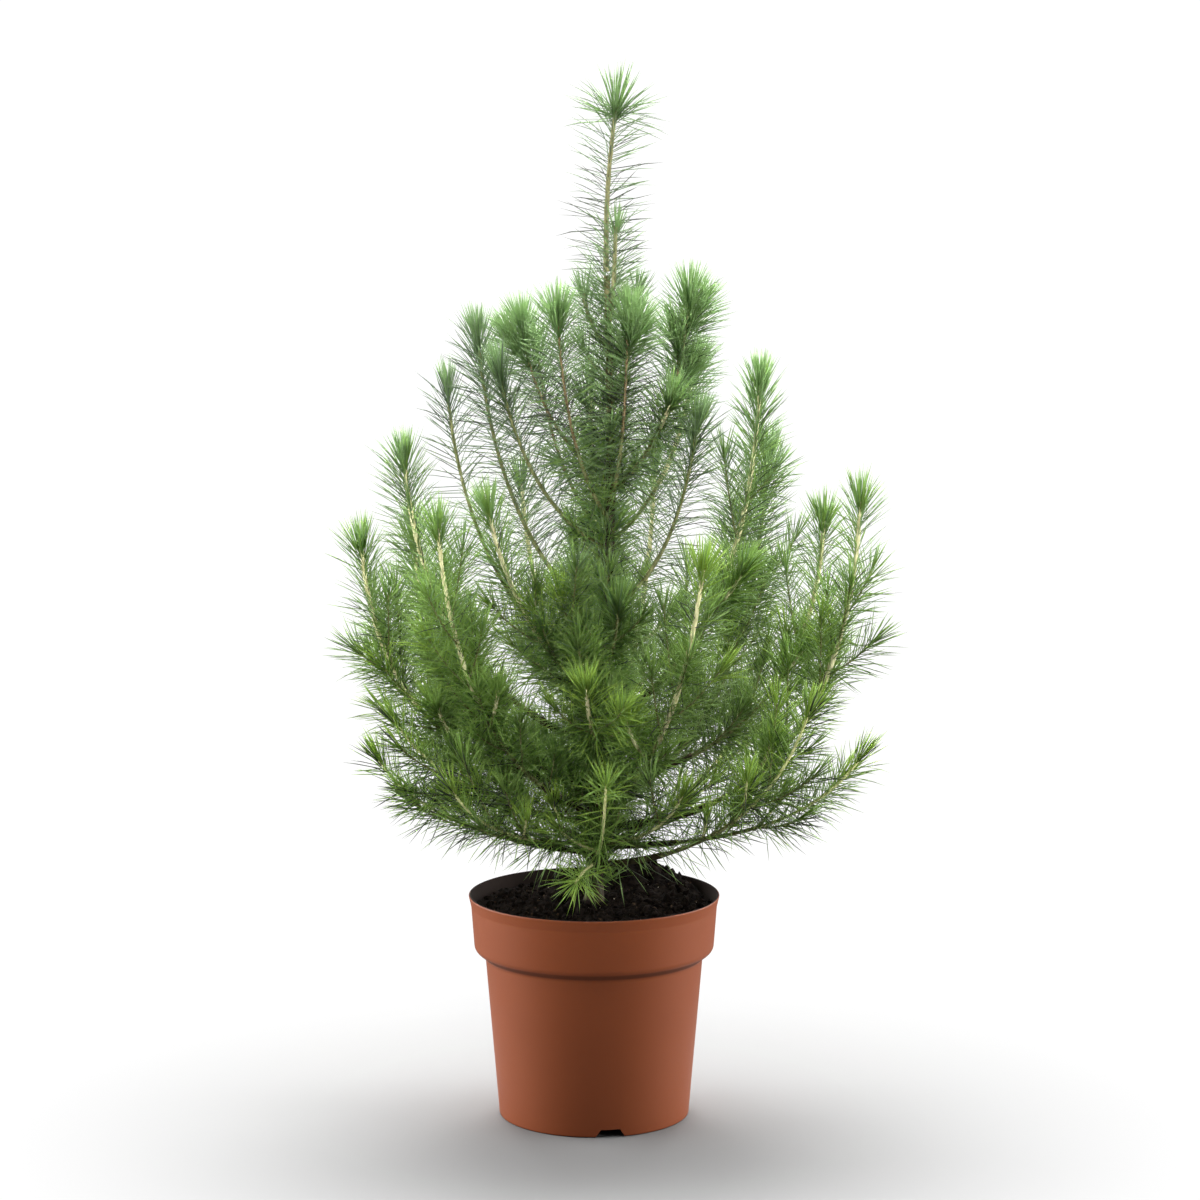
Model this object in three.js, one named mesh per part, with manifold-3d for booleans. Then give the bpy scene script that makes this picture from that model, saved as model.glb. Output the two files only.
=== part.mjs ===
// Young Italian stone pine in a 14 cm nursery pot. Millimetres, +Z up, front = -Y.
// The origin is the centre of the pot's flat underside.
import * as THREE from 'three';
import Module from 'manifold-3d';

const wasm = await Module();
wasm.setup();
const group = new THREE.Group();
const DEG = Math.PI / 180;

// ---------------------------------------------------------------- driving sizes
const CLEAR = 0.35; // gap kept between neighbouring solids

const POT_HEIGHT = 125;
const POT_SIDES = 48;
const FLOOR = 1.8;
// half outline of the pot, radius and height, up the outside and down the inside
const POT_OUTSIDE = [
  [52.4, 0], [53.2, 0.9], [53.8, 4.4], [53.4, 5.2], [59.6, 84], [60, 89.7], [62.6, 90.6],
  [64.9, 92.3], [66, 95.2], [66.3, 98], [68.3, 117], [69.2, 122], [70, 124], [69.2, POT_HEIGHT],
];
const POT_INSIDE = [
  [67.9, 124.2], [67, 117], [64.6, 97.4], [61.8, 93.4], [58.8, 91.2], [58.2, 84], [51.9, 5.5], [50.8, FLOOR],
];
const NOTCH = { azimuth: -80.2, count: 3, wide: 16.7, narrow: 10.6, high: 4.6, inner: 18, outer: 60 };
const RIDGE_WALL = 1.5; // plastic over each drainage channel
const WALL_MIDDLE = 52.6; // radius inside the wall's thickness, where the ridges end
const CUT_BELOW = 0.5; // cutters start this far under the floor
const DRAIN_HOLE = { radius: 4, at: 30, sides: 12, low: 3, high: 9 };

const SOIL_SIDES = 28;
const SOIL_EDGE = 116; // height of the soil against the wall
const SOIL_MOUND = 5; // rise from the wall to the trunk
const SOIL_HEAP = { x: 26, y: 42, high: 15.5, wide: 20, deep: 12.5 };
const SOIL_GAP = 0.62;

const GROUND = 121; // flat patch of soil the trunk stands on
const TRUNK_TOP = 470;
const TRUNK_SIDES = 8;
const TRUNK_FOOT_RADIUS = 4.2;
const TRUNK_TIP_RADIUS = 1.6;
const FLARE = { extra: 1.9, fade: 6 };
const BOW = { x: 9, y: 2 };

const NEEDLE = 27; // length of a full needle
const TIP_NEEDLE = 21; // the foremost needle carries on past the end of its shoot
const NEEDLE_HALF_BASE = 3.2; // half the width of a needle at its root
const POT_MOUTH = 60; // within this radius a needle may come lower than over the rim
const GROUND_LIMIT = { soil: 124, rim: 128, heap: 139 }; // no needle comes lower than this
const SPACE_MARGIN = 1.6; // a needle's point is nearer its own stem than any other by this
const WOOD_MARGIN = 0.8; // between a needle and the trunk or a bough
const NEEDLE_TRIES = [1, 0.82, 0.66, 0.5]; // shorter and shorter where room is short
const BALD_SHARE = 0.12; // share of facets that grow no needle
const BALD_ROOT = 3; // bare start of every shoot
const RING_GAP = 10;
const TWIST = 33 * DEG;
const LEAN = { tip: 14, open: 56, reach: 42 }; // needle angle off its shoot, in degrees
const CORE_RADIUS = 0.95; // stem radius where a shoot ends
const ROOT_HALF = 2; // half the height of a limb where it leaves the trunk
const TUFT = [8.5, 4]; // the last rings stand closer, for the brush at the tip
const TWIG = { length: 44, more: 14, from: 0.12, over: 0.5, apart: 11, offWood: 5 };

// One row a limb: name, height where it leaves the trunk, azimuth, reach of its tip from
// the pot's axis, height of its tip, start angle above level, how far out it turns up,
// length of bare bough (0 = needles start at the trunk), number of side twigs.
const LIMBS = [
  ['right_low', 152, -4, 156, 222, 0, 0.85, 44, 2],
  ['right_low_front', 141, -26, 134, 258, 8, 0.85, 40, 2],
  ['front_right_low', 153, -56, 94, 212, 10, 0.85, 0, 1],
  ['front', 147, -86, 98, 224, 14, 0.85, 0, 1],
  ['front_lowest', 142, -101, 74, 137, 8, 0.6, 0, 0],
  ['left_low_inner', 154, 219, 106, 216, 4, 0.9, 0, 2],
  ['left_low', 148, 186, 128, 222, 6, 0.85, 42, 2],
  ['left_low_high', 164, 202, 124, 248, 12, 0.85, 0, 1],
  ['back_right_low', 150, 42, 134, 262, 10, 0.9, 44, 2],
  ['back_low', 144, 88, 132, 230, 6, 0.85, 40, 2],
  ['back_left_low', 152, 134, 132, 258, 8, 0.9, 42, 2],
  ['right_outer', 163, -9, 147, 368, 2, 1.0, 62, 2],
  ['right_mid', 188, 12, 131, 352, 6, 1.04, 52, 2],
  ['right_high', 222, 26, 104, 427, 20, 0.98, 44, 1],
  ['right_back', 174, 40, 130, 384, 10, 0.98, 56, 2],
  ['front_right', 172, -48, 90, 336, 26, 0.8, 0, 1],
  ['front_mid', 206, -94, 72, 272, 14, 0.9, 0, 1],
  ['front_left', 170, 213, 101, 357, 18, 0.92, 42, 1],
  ['front_left_high', 228, 218, 76, 365, 38, 0.85, 0, 1],
  ['left_outer', 186, 190, 129, 343, 5, 1.0, 52, 2],
  ['mid_left', 206, 180, 105, 388, 20, 0.98, 46, 1],
  ['mid_left_back', 240, 160, 88, 424, 30, 0.95, 0, 1],
  ['back_right', 214, 70, 104, 376, 22, 0.92, 0, 2],
  ['back_left', 218, 114, 106, 366, 20, 0.92, 0, 2],
  ['back_outer', 168, 92, 134, 330, 12, 0.98, 54, 2],
  ['back_left_outer', 180, 144, 130, 338, 12, 0.98, 52, 2],
  ['back_high', 262, 92, 74, 424, 32, 0.9, 0, 1],
  ['upper_left', 276, 172, 66, 455, 34, 0.9, 0, 1],
  ['upper_left_front', 318, 196, 57, 437, 26, 0.8, 0, 0],
  ['upper_right', 284, -14, 60, 410, 30, 0.85, 0, 1],
  ['high_left', 356, 174, 42, 461, 32, 0.9, 0, 0],
  ['high_front_left', 334, 238, 38, 470, 44, 0.95, 0, 1],
  ['high_front_right', 346, -52, 30, 469, 44, 0.95, 0, 0],
  ['high_right', 350, 4, 54, 478, 36, 0.9, 0, 1],
  ['high_back_left', 322, 128, 54, 446, 34, 0.9, 0, 1],
  ['high_back_right', 322, 28, 64, 437, 32, 0.92, 0, 1],
  ['crest_front', 440, -45, 17, 516, 56, 0.9, 0, 0],
  ['crest_left', 430, 175, 8, 480, 34, 0.9, 0, 0],
  ['crest_right', 424, 14, 26, 480, 30, 0.9, 0, 0],
  ['inner_front_left', 250, 242, 44, 318, 26, 0.9, 0, 0],
  ['inner_front_right', 252, -70, 42, 314, 28, 0.9, 0, 0],
];

const LEADER = { bend: [5, -1, 522], tip: [15.5, -2, 580] };

const COLOURS = {
  pot: 0xa8613f, soil: 0x2a211b, bark: 0x7d5c3c, foliage: 0x5f8b3a,
};

// ---------------------------------------------------------------- helpers
function seeded(seed) {
  let state = seed >>> 0;
  return function next() {
    state = (state + 0x6d2b79f5) >>> 0;
    let t = state;
    t = Math.imul(t ^ (t >>> 15), t | 1);
    t ^= t + Math.imul(t ^ (t >>> 7), t | 61);
    return ((t ^ (t >>> 14)) >>> 0) / 4294967296;
  };
}

function geometryOf(positions, triangles) {
  const geometry = new THREE.BufferGeometry();
  geometry.setAttribute('position', new THREE.Float32BufferAttribute(positions, 3));
  geometry.setIndex(triangles);
  return geometry;
}

function manifoldOf(positions, triangles) {
  const vertProperties = Float32Array.from(positions);
  const triVerts = Uint32Array.from(triangles);
  return new wasm.Manifold(new wasm.Mesh({ numProp: 3, vertProperties, triVerts }));
}

function geometryFromManifold(solid) {
  const mesh = solid.getMesh();
  return geometryOf(Array.from(mesh.vertProperties), Array.from(mesh.triVerts));
}

function addNode(name, geometry, colour, roughness) {
  const material = new THREE.MeshStandardMaterial({ color: colour, roughness, metalness: 0 });
  material.name = name;
  const mesh = new THREE.Mesh(geometry, material);
  mesh.name = name;
  group.add(mesh);
}

// Closed skin over a stack of rings: rings[i] is a list of [x, y, z] with equal counts,
// counter-clockwise seen from the last ring; both ends are closed by a point.
function skin(rings, firstPoint, lastPoint) {
  const positions = [];
  const triangles = [];
  const sides = rings[0].length;
  for (const ring of rings) {
    for (const point of ring) positions.push(...point);
  }
  const first = rings.length * sides;
  const last = first + 1;
  positions.push(...firstPoint, ...lastPoint);
  for (let i = 0; i < rings.length - 1; i += 1) {
    for (let k = 0; k < sides; k += 1) {
      const a = i * sides + k;
      const b = i * sides + ((k + 1) % sides);
      triangles.push(a, b, b + sides, a, b + sides, a + sides);
    }
  }
  const top = (rings.length - 1) * sides;
  for (let k = 0; k < sides; k += 1) {
    const next = (k + 1) % sides;
    triangles.push(first, next, k);
    triangles.push(last, top + k, top + next);
  }
  return { positions, triangles };
}

function circle(radius, height, sides) {
  const ring = [];
  for (let k = 0; k < sides; k += 1) {
    const angle = (2 * Math.PI * k) / sides;
    ring.push([radius * Math.cos(angle), radius * Math.sin(angle), height]);
  }
  return ring;
}

function cylinder(x, y, radius, low, high, sides) {
  const rings = [low, high].map((height) => (
    circle(radius, height, sides).map(([cx, cy, cz]) => [cx + x, cy + y, cz])
  ));
  const body = skin(rings, [x, y, low], [x, y, high]);
  return manifoldOf(body.positions, body.triangles);
}

// Prism on a closed outline in the plane across `azimuth`, from radius r0 to radius r1.
function radialPrism(outline, r0, r1, azimuth) {
  const along = [Math.cos(azimuth), Math.sin(azimuth)];
  const place = (across, height, r) => [
    along[0] * r - along[1] * across,
    along[1] * r + along[0] * across,
    height,
  ];
  const near = outline.map(([across, height]) => place(across, height, r0));
  const far = outline.map(([across, height]) => place(across, height, r1));
  const middle = outline.reduce((sum, [, height]) => sum + height, 0) / outline.length;
  const body = skin([near, far], place(0, middle, r0), place(0, middle, r1));
  return manifoldOf(body.positions, body.triangles);
}

function trapezoid(wide, narrow, low, high) {
  return [[-wide / 2, low], [wide / 2, low], [narrow / 2, high], [-narrow / 2, high]];
}

// ---------------------------------------------------------------- pot
function ridge(grow, low, outer, azimuth) {
  const extra = RIDGE_WALL + grow;
  const outline = trapezoid(NOTCH.wide + 2 * extra, NOTCH.narrow + 2 * extra, low, NOTCH.high + extra);
  return radialPrism(outline, NOTCH.inner - extra, outer, azimuth);
}

function notchAzimuths() {
  const list = [];
  for (let i = 0; i < NOTCH.count; i += 1) {
    list.push((NOTCH.azimuth + (360 / NOTCH.count) * i) * DEG);
  }
  return list;
}

function makePot() {
  const outline = [...POT_OUTSIDE, ...POT_INSIDE];
  const rings = outline.map(([radius, height]) => circle(radius, height, POT_SIDES));
  const shell = skin(rings, [0, 0, 0], [0, 0, FLOOR]);
  let pot = manifoldOf(shell.positions, shell.triangles);
  const inWall = cylinder(0, 0, WALL_MIDDLE, FLOOR / 4, 3 * NOTCH.high, POT_SIDES);
  for (const azimuth of notchAzimuths()) {
    pot = pot.add(ridge(0, FLOOR / 2, NOTCH.outer, azimuth).intersect(inWall));
  }
  const slope = (NOTCH.wide - NOTCH.narrow) / NOTCH.high;
  const channel = trapezoid(NOTCH.wide + slope * CUT_BELOW, NOTCH.narrow, -CUT_BELOW, NOTCH.high);
  const { radius, at, low, high, sides } = DRAIN_HOLE;
  for (const azimuth of notchAzimuths()) {
    pot = pot.subtract(radialPrism(channel, NOTCH.inner, NOTCH.outer, azimuth));
    pot = pot.subtract(cylinder(at * Math.cos(azimuth), at * Math.sin(azimuth), radius, low, high, sides));
  }
  addNode('pot', geometryFromManifold(pot), COLOURS.pot, 0.55);
}

// ---------------------------------------------------------------- soil
function soilHeight(x, y) {
  const r = Math.hypot(x, y);
  const heap = Math.hypot((x - SOIL_HEAP.x) / SOIL_HEAP.wide, (y - SOIL_HEAP.y) / SOIL_HEAP.deep);
  const lumps = 0.7 * Math.sin(x * 0.31 + 1.1) * Math.sin(y * 0.27 + 0.4) + 0.5 * Math.sin(x * 0.13 - y * 0.19);
  const height = SOIL_EDGE + SOIL_MOUND * (1 - (r / 67) ** 2) + lumps;
  const raised = height + SOIL_HEAP.high * Math.exp(-heap * heap / 2);
  const blend = Math.min(1, Math.max(0, (r - 9) / 9));
  return GROUND + (raised - GROUND) * blend;
}

function makeSoil() {
  const rings = [];
  const sideProfile = [...POT_INSIDE].reverse().slice(0, 7);
  sideProfile[0] = [50.8, FLOOR + SOIL_GAP];
  for (const [radius, height] of sideProfile) {
    if (height < SOIL_EDGE - 4) rings.push(circle(radius - SOIL_GAP, height, SOIL_SIDES));
  }
  for (const radius of [66.1, 58, 50, 40, 28, 17, 9]) {
    const flat = circle(radius, 0, SOIL_SIDES);
    rings.push(flat.map(([x, y]) => [x, y, soilHeight(x, y)]));
  }
  const body = skin(rings, [0, 0, FLOOR + SOIL_GAP], [0, 0, GROUND]);
  let soil = manifoldOf(body.positions, body.triangles);
  for (const azimuth of notchAzimuths()) {
    soil = soil.subtract(ridge(SOIL_GAP, 0, NOTCH.outer, azimuth));
  }
  addNode('soil', geometryFromManifold(soil), COLOURS.soil, 1);
}

// ---------------------------------------------------------------- trunk
function trunkAxis(z) {
  const t = (z - GROUND) / (TRUNK_TOP - GROUND);
  return new THREE.Vector3(BOW.x * Math.sin(0.72 * Math.PI * t), BOW.y * Math.sin(1.8 * Math.PI * t), z);
}

function trunkRadius(z) {
  const t = (z - GROUND) / (TRUNK_TOP - GROUND);
  const taper = TRUNK_FOOT_RADIUS + (TRUNK_TIP_RADIUS - TRUNK_FOOT_RADIUS) * t;
  return taper + FLARE.extra * Math.exp(-(z - GROUND) / FLARE.fade);
}

function makeTrunk() {
  const heights = [GROUND + 0.3, 124, 128, 134, 143];
  for (let z = 160; z < TRUNK_TOP - 5; z += 17) heights.push(z);
  heights.push(TRUNK_TOP);
  const rings = heights.map((z) => {
    const centre = trunkAxis(z);
    return circle(trunkRadius(z), 0, TRUNK_SIDES).map(([x, y]) => [x + centre.x, y + centre.y, z]);
  });
  const foot = trunkAxis(heights[0]).toArray();
  const body = skin(rings, foot, trunkAxis(TRUNK_TOP).toArray());
  addNode('trunk', geometryOf(body.positions, body.triangles), COLOURS.bark, 0.9);
}

// ---------------------------------------------------------------- paths
// A path is a quadratic curve held as evenly spaced points with running length.
function makePath(start, bend, end) {
  const curve = new THREE.QuadraticBezierCurve3(start, bend, end);
  const length = curve.getLength();
  return {
    length,
    at: (s) => curve.getPointAt(Math.min(1, Math.max(0, s / length))),
    along: (s) => curve.getTangentAt(Math.min(1, Math.max(0, s / length))),
  };
}

function limbPath([, leaves, azimuth, reach, top, rise, turn]) {
  const start = trunkAxis(leaves);
  const end = new THREE.Vector3(reach * Math.cos(azimuth * DEG), reach * Math.sin(azimuth * DEG), top);
  const dx = end.x - start.x;
  const dy = end.y - start.y;
  const lift = turn * Math.hypot(dx, dy) * Math.tan(rise * DEG);
  const bend = new THREE.Vector3(start.x + turn * dx, start.y + turn * dy, start.z + lift);
  return makePath(start, bend, end);
}

// Distance along the path where it has come clear of the trunk.
function clearOfTrunk(path) {
  const start = path.at(0);
  const wanted = trunkRadius(start.z - ROOT_HALF) + CLEAR;
  let s = 0;
  while (Math.hypot(path.at(s).x - start.x, path.at(s).y - start.y) < wanted) s += 0.02;
  return s;
}

function rootRadius(length) {
  return 1.15 + 0.0045 * length;
}

// ---------------------------------------------------------------- rings along a path
function ringOn(path, s, radius, sides, turn, facing) {
  const centre = path.at(s);
  const along = path.along(s);
  const level = new THREE.Vector3(-along.y, along.x, 0).normalize();
  const rise = new THREE.Vector3().crossVectors(along, level);
  if (facing) {
    // the first ring at the trunk stands upright, square to the way the limb leaves
    rise.set(0, 0, 1 / Math.max(0.3, Math.hypot(along.x, along.y)));
  }
  const ring = [];
  for (let k = 0; k < sides; k += 1) {
    const angle = turn + (2 * Math.PI * k) / sides;
    const point = centre.clone();
    point.addScaledVector(level, radius * Math.cos(angle));
    point.addScaledVector(rise, radius * Math.sin(angle));
    ring.push(point.toArray());
  }
  return ring;
}

function makeBough(name, path, from, to, r0, r1) {
  const sides = 6;
  const steps = Math.max(3, Math.round((to - from) / 14));
  const rings = [];
  for (let i = 0; i <= steps; i += 1) {
    const s = from + ((to - from) * i) / steps;
    const radius = r0 + ((r1 - r0) * i) / steps;
    rings.push(ringOn(path, s, radius, sides, 0, i === 0));
  }
  const body = skin(rings, path.at(from).toArray(), path.at(to).toArray());
  addNode(`bough_${name}`, geometryOf(body.positions, body.triangles), COLOURS.bark, 0.9);
}

// ---------------------------------------------------------------- shoots
const stems = []; // every needled stem: { owner, path, from, to, r0, r1, points }
const wood = []; // trunk and boughs as points with a radius

function stemPoints(path, from, to) {
  const points = [];
  const steps = Math.ceil((to - from) / 2);
  for (let i = 0; i <= steps; i += 1) points.push(path.at(from + ((to - from) * i) / steps));
  return points;
}

function distanceTo(points, place) {
  let best = Infinity;
  for (const point of points) best = Math.min(best, point.distanceToSquared(place));
  return Math.sqrt(best);
}

function groundLimit(place) {
  const nearHeap = place.x > 0 && place.y > 0;
  if (nearHeap) return GROUND_LIMIT.heap;
  return Math.hypot(place.x, place.y) < POT_MOUTH ? GROUND_LIMIT.soil : GROUND_LIMIT.rim;
}

// True when a point of a needle is nearer its own stem than any other and off all wood.
function inOwnSpace(place, stem, halfWidth) {
  if (place.z < groundLimit(place) + halfWidth) return false;
  const own = distanceTo(stem.points, place);
  for (const other of stems) {
    if (other === stem) continue;
    if (distanceTo(other.points, place) < own + 2 * halfWidth + SPACE_MARGIN) return false;
  }
  for (const limb of wood) {
    if (limb.centre.distanceTo(place) < limb.radius + halfWidth + WOOD_MARGIN) return false;
  }
  return true;
}

function needleFits(base, direction, length, stem) {
  for (let i = 1; i <= 8; i += 1) {
    const place = base.clone().addScaledVector(direction, (length * i) / 8);
    const halfWidth = NEEDLE_HALF_BASE * (1 - i / 8) * (i > 1 ? 1 : 0.5);
    if (!inOwnSpace(place, stem, halfWidth)) return false;
  }
  return true;
}

// A slim three-sided stem; most of its facets are drawn out into needles leaning forward.
function shootBody(stem, random) {
  const { path, from, to, r0, r1, upright } = stem;
  const stops = [from];
  const length = to - from;
  const plain = length - TUFT[0] - TUFT[0] + TUFT[1];
  const even = Math.max(1, Math.round(plain / RING_GAP));
  for (let i = 1; i <= even; i += 1) stops.push(from + (plain * i) / even);
  stops.push(to - TUFT[0], to - TUFT[1], to);
  const rings = stops.map((s, i) => {
    const radius = r0 + ((r1 - r0) * (s - from)) / length;
    return ringOn(path, s, radius, 3, i * TWIST, i === 0 && upright);
  });
  const tip = path.at(to).addScaledVector(path.along(to), TIP_NEEDLE);
  const { positions, triangles } = skin(rings, path.at(from).toArray(), tip.toArray());
  const vertex = (index) => new THREE.Vector3().fromArray(positions, 3 * index);
  const drawn = [];
  const sideTriangles = (rings.length - 1) * 6;
  for (let t = 0; t < triangles.length / 3; t += 1) {
    const corner = triangles.slice(3 * t, 3 * t + 3);
    const gap = Math.floor(t / 6);
    const s = (stops[gap] + stops[Math.min(gap + 1, stops.length - 1)]) / 2;
    const keepPlain = t >= sideTriangles || random() < BALD_SHARE || s - from < BALD_ROOT;
    if (keepPlain) {
      drawn.push(...corner);
      continue;
    }
    const centroid = vertex(corner[0]).add(vertex(corner[1])).add(vertex(corner[2])).divideScalar(3);
    const along = path.along(s);
    const outward = centroid.clone().sub(path.at(s));
    outward.addScaledVector(along, -outward.dot(along)).normalize();
    const open = Math.min(1, (to - s) / LEAN.reach);
    const lean = (LEAN.tip + (LEAN.open - LEAN.tip) * Math.sqrt(open) + (random() - 0.5) * 8) * DEG;
    const direction = along.clone().multiplyScalar(Math.cos(lean)).addScaledVector(outward, Math.sin(lean));
    const full = NEEDLE * (0.9 + 0.2 * random());
    let fitted = 0;
    for (const part of NEEDLE_TRIES) {
      if (!fitted && needleFits(centroid, direction, full * part, stem)) fitted = full * part;
    }
    if (!fitted) {
      drawn.push(...corner);
      continue;
    }
    const apex = positions.length / 3;
    positions.push(...centroid.addScaledVector(direction, fitted).toArray());
    drawn.push(corner[0], corner[1], apex, corner[1], corner[2], apex, corner[2], corner[0], apex);
  }
  return { positions, triangles: drawn };
}

// Side twig: leaves the stem at distance s to one side and bends up.
function twigPath(path, s, side, length) {
  const start = path.at(s);
  const along = path.along(s);
  const level = new THREE.Vector3(-along.y, along.x, 0).normalize().multiplyScalar(side);
  const outward = along.clone().multiplyScalar(0.55).addScaledVector(level, 0.8);
  outward.z += 0.1;
  outward.normalize();
  const bend = start.clone().addScaledVector(outward, length * 0.55);
  const end = bend.clone().addScaledVector(outward, length * 0.25);
  end.z += length * 0.42;
  return makePath(start, bend, end);
}

function keepsAway(points, distance, owner) {
  for (const other of stems) {
    const skip = other.owner === owner ? 9 : 0;
    for (const place of points.slice(skip)) {
      if (distanceTo(other.points, place) < distance) return false;
    }
  }
  for (const limb of wood) {
    for (const place of points) {
      if (limb.centre.distanceTo(place) < limb.radius + TWIG.offWood) return false;
    }
  }
  return true;
}

function addStem(owner, path, from, to, r0, r1, upright) {
  const stem = { owner, path, from, to, r0, r1, upright, points: stemPoints(path, from, to) };
  stems.push(stem);
  return stem;
}

// ---------------------------------------------------------------- build
makePot();
makeSoil();
makeTrunk();
for (let z = GROUND; z <= TRUNK_TOP; z += 3) wood.push({ centre: trunkAxis(z), radius: trunkRadius(z) });

for (const row of LIMBS) {
  const [name, , , , , , , bare] = row;
  const path = limbPath(row);
  const start = clearOfTrunk(path);
  const r0 = rootRadius(path.length);
  const end = path.length - TIP_NEEDLE;
  const radiusAt = (s) => r0 + (CORE_RADIUS - r0) * Math.min(1, s / end) ** 0.8;
  let from = start;
  if (bare > 0) {
    makeBough(name, path, start, bare, r0, radiusAt(bare));
    for (let s = start; s <= bare; s += 3) wood.push({ centre: path.at(s), radius: radiusAt(s) });
    from = bare + CLEAR;
  }
  addStem(name, path, from, end, radiusAt(from), CORE_RADIUS, bare === 0);
}
const leaderStart = trunkAxis(TRUNK_TOP);
leaderStart.z += CLEAR;
const leaderPath = makePath(
  leaderStart, new THREE.Vector3(...LEADER.bend), new THREE.Vector3(...LEADER.tip),
);
addStem('leader', leaderPath, 0, leaderPath.length - TIP_NEEDLE, TRUNK_TIP_RADIUS, CORE_RADIUS, false);

const random = seeded(20261);
const mains = [...stems];
for (const main of mains) {
  const row = LIMBS.find(([name]) => name === main.owner);
  const wanted = row ? row[8] : 0;
  const room = main.to - main.from;
  for (let i = 0; i < wanted; i += 1) {
    const s = main.from + room * (TWIG.from + (TWIG.over * (i + random() * 0.4)) / wanted);
    const length = TWIG.length + TWIG.more * random();
    const firstSide = (i + Math.floor(random() * 2)) % 2 ? 1 : -1;
    for (const side of [firstSide, -firstSide]) {
      const path = twigPath(main.path, s, side, length);
      const points = stemPoints(path, 6, path.length - TIP_NEEDLE * 0.6);
      if (keepsAway(points, TWIG.apart, main.owner)) {
        addStem(main.owner, path, 0, path.length - TIP_NEEDLE, CORE_RADIUS, CORE_RADIUS * 0.9, false);
        break;
      }
    }
  }
}

for (const main of mains) {
  const own = stems.filter((stem) => stem.owner === main.owner);
  const bodies = own.map((stem) => shootBody(stem, random));
  let geometry = geometryOf(bodies[0].positions, bodies[0].triangles);
  if (bodies.length > 1) {
    let solid = manifoldOf(bodies[0].positions, bodies[0].triangles);
    for (const body of bodies.slice(1)) solid = solid.add(manifoldOf(body.positions, body.triangles));
    geometry = geometryFromManifold(solid);
  }
  addNode(`foliage_${main.owner}`, geometry, COLOURS.foliage, 0.8);
}

export default group;
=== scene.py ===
"""Look of a young Italian stone pine in a 14 cm nursery pot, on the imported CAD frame."""
import math
from dataclasses import dataclass

import bpy
import numpy as np
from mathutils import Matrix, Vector, noise


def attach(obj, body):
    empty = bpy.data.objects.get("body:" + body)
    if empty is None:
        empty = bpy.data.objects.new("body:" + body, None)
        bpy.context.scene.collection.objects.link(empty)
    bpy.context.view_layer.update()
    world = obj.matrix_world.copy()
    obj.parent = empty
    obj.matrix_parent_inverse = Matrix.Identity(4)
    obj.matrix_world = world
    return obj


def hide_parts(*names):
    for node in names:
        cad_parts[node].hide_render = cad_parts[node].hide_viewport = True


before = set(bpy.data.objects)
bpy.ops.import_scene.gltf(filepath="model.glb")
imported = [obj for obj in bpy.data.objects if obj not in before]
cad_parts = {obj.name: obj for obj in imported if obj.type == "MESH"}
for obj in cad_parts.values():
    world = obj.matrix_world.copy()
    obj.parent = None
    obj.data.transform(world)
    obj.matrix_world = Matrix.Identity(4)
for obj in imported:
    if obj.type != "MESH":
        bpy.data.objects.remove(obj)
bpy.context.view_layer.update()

MM = 0.001
DEG = math.pi / 180.0


def add_object(name, data):
    item = bpy.data.objects.new(name, data)
    bpy.context.scene.collection.objects.link(item)
    return item


# ---- camera
# Place in metres, degrees below level, and lens in mm on a sensor 36 mm wide.
CAMERA_PLACE = (0.0033, -1.867, 0.5439)
CAMERA_DOWN = 7.74
CAMERA_LENS = 102.5


def make_camera():
    data = bpy.data.cameras.new("camera")
    data.lens = CAMERA_LENS
    data.sensor_width = 36.0
    data.clip_end = 50.0
    camera = add_object("camera", data)
    camera.location = CAMERA_PLACE
    camera.rotation_euler = ((90.0 - CAMERA_DOWN) * DEG, 0.0, 0.0)
    bpy.context.scene.camera = camera


make_camera()

# ---- floor and light
# Tone of the floor as the camera sees it and as it throws light back. It is plain as far
# as FLOOR_PLAIN from the pot's axis and glows pure white beyond FLOOR_WHITE, both in metres.
# The white glow is painted light, and its fade towards the pot is a painted shadow round it.
FLOOR_TONE = 0.28
FLOOR_BOUNCE = 0.2
FLOOR_PLAIN = 0.08
FLOOR_WHITE = 0.42
# Strength of the white room as the camera sees it, and of its light from front and back.
ROOM_SEEN = 1.05
ROOM_FRONT = 0.05
ROOM_BACK = 0.5
# Soft boxes: name, place, height on the pot's axis that it faces, its two sides, all in
# metres, its power in watts and, on a narrow one, its spread in degrees.
SOFT_BOXES = [
    ("left_box", (-1.35, 0.2, 0.42), 0.22, (1.7, 0.7), 32.0),
    ("right_box", (1.35, 0.2, 0.42), 0.22, (1.7, 0.7), 29.44),
    ("top_box", (0.0, 0.85, 1.7), 0.2, (1.3, 1.3), 84.0),
    ("front_fill", (-0.15, -0.7, 2.2), 0.35, (1.3, 1.3), 14.5),
    ("crown_fill", (0.15, -1.9, 1.25), 0.46, (0.45, 0.45), 0.9, 15.0),
]

# ---- driving sizes, in mm
# Trunk: soil level at its foot, its top, its radii, its root flare and its bow.
GROUND = 121.0
TRUNK_TOP = 470.0
TRUNK_FOOT_RADIUS = 4.2
TRUNK_TIP_RADIUS = 1.6
FLARE_EXTRA = 1.9
FLARE_FADE = 6.0
BOW_X = 9.0
BOW_Y = 2.0
# Limbs: gap to the wood that carries them, how far below their root the trunk's radius is
# read, radius at the root and what each mm of length adds, needles past the end of a stem,
# and the stem's radius there.
CLEAR = 0.35
ROOT_HALF = 2.0
ROOT_RADIUS = 1.15
ROOT_MORE = 0.0045
TIP_NEEDLE = 21.0
CORE_RADIUS = 0.95
# Side twigs: length, what chance adds, where they sit as a share of the main stem, how far
# they keep from stems and wood, and how many first points may be nearer their own limb.
TWIG_LENGTH = 44.0
TWIG_MORE = 14.0
TWIG_FROM = 0.12
TWIG_OVER = 0.5
TWIG_APART = 11.0
TWIG_OFF_WOOD = 5.0
TWIG_SKIP = 9
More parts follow.
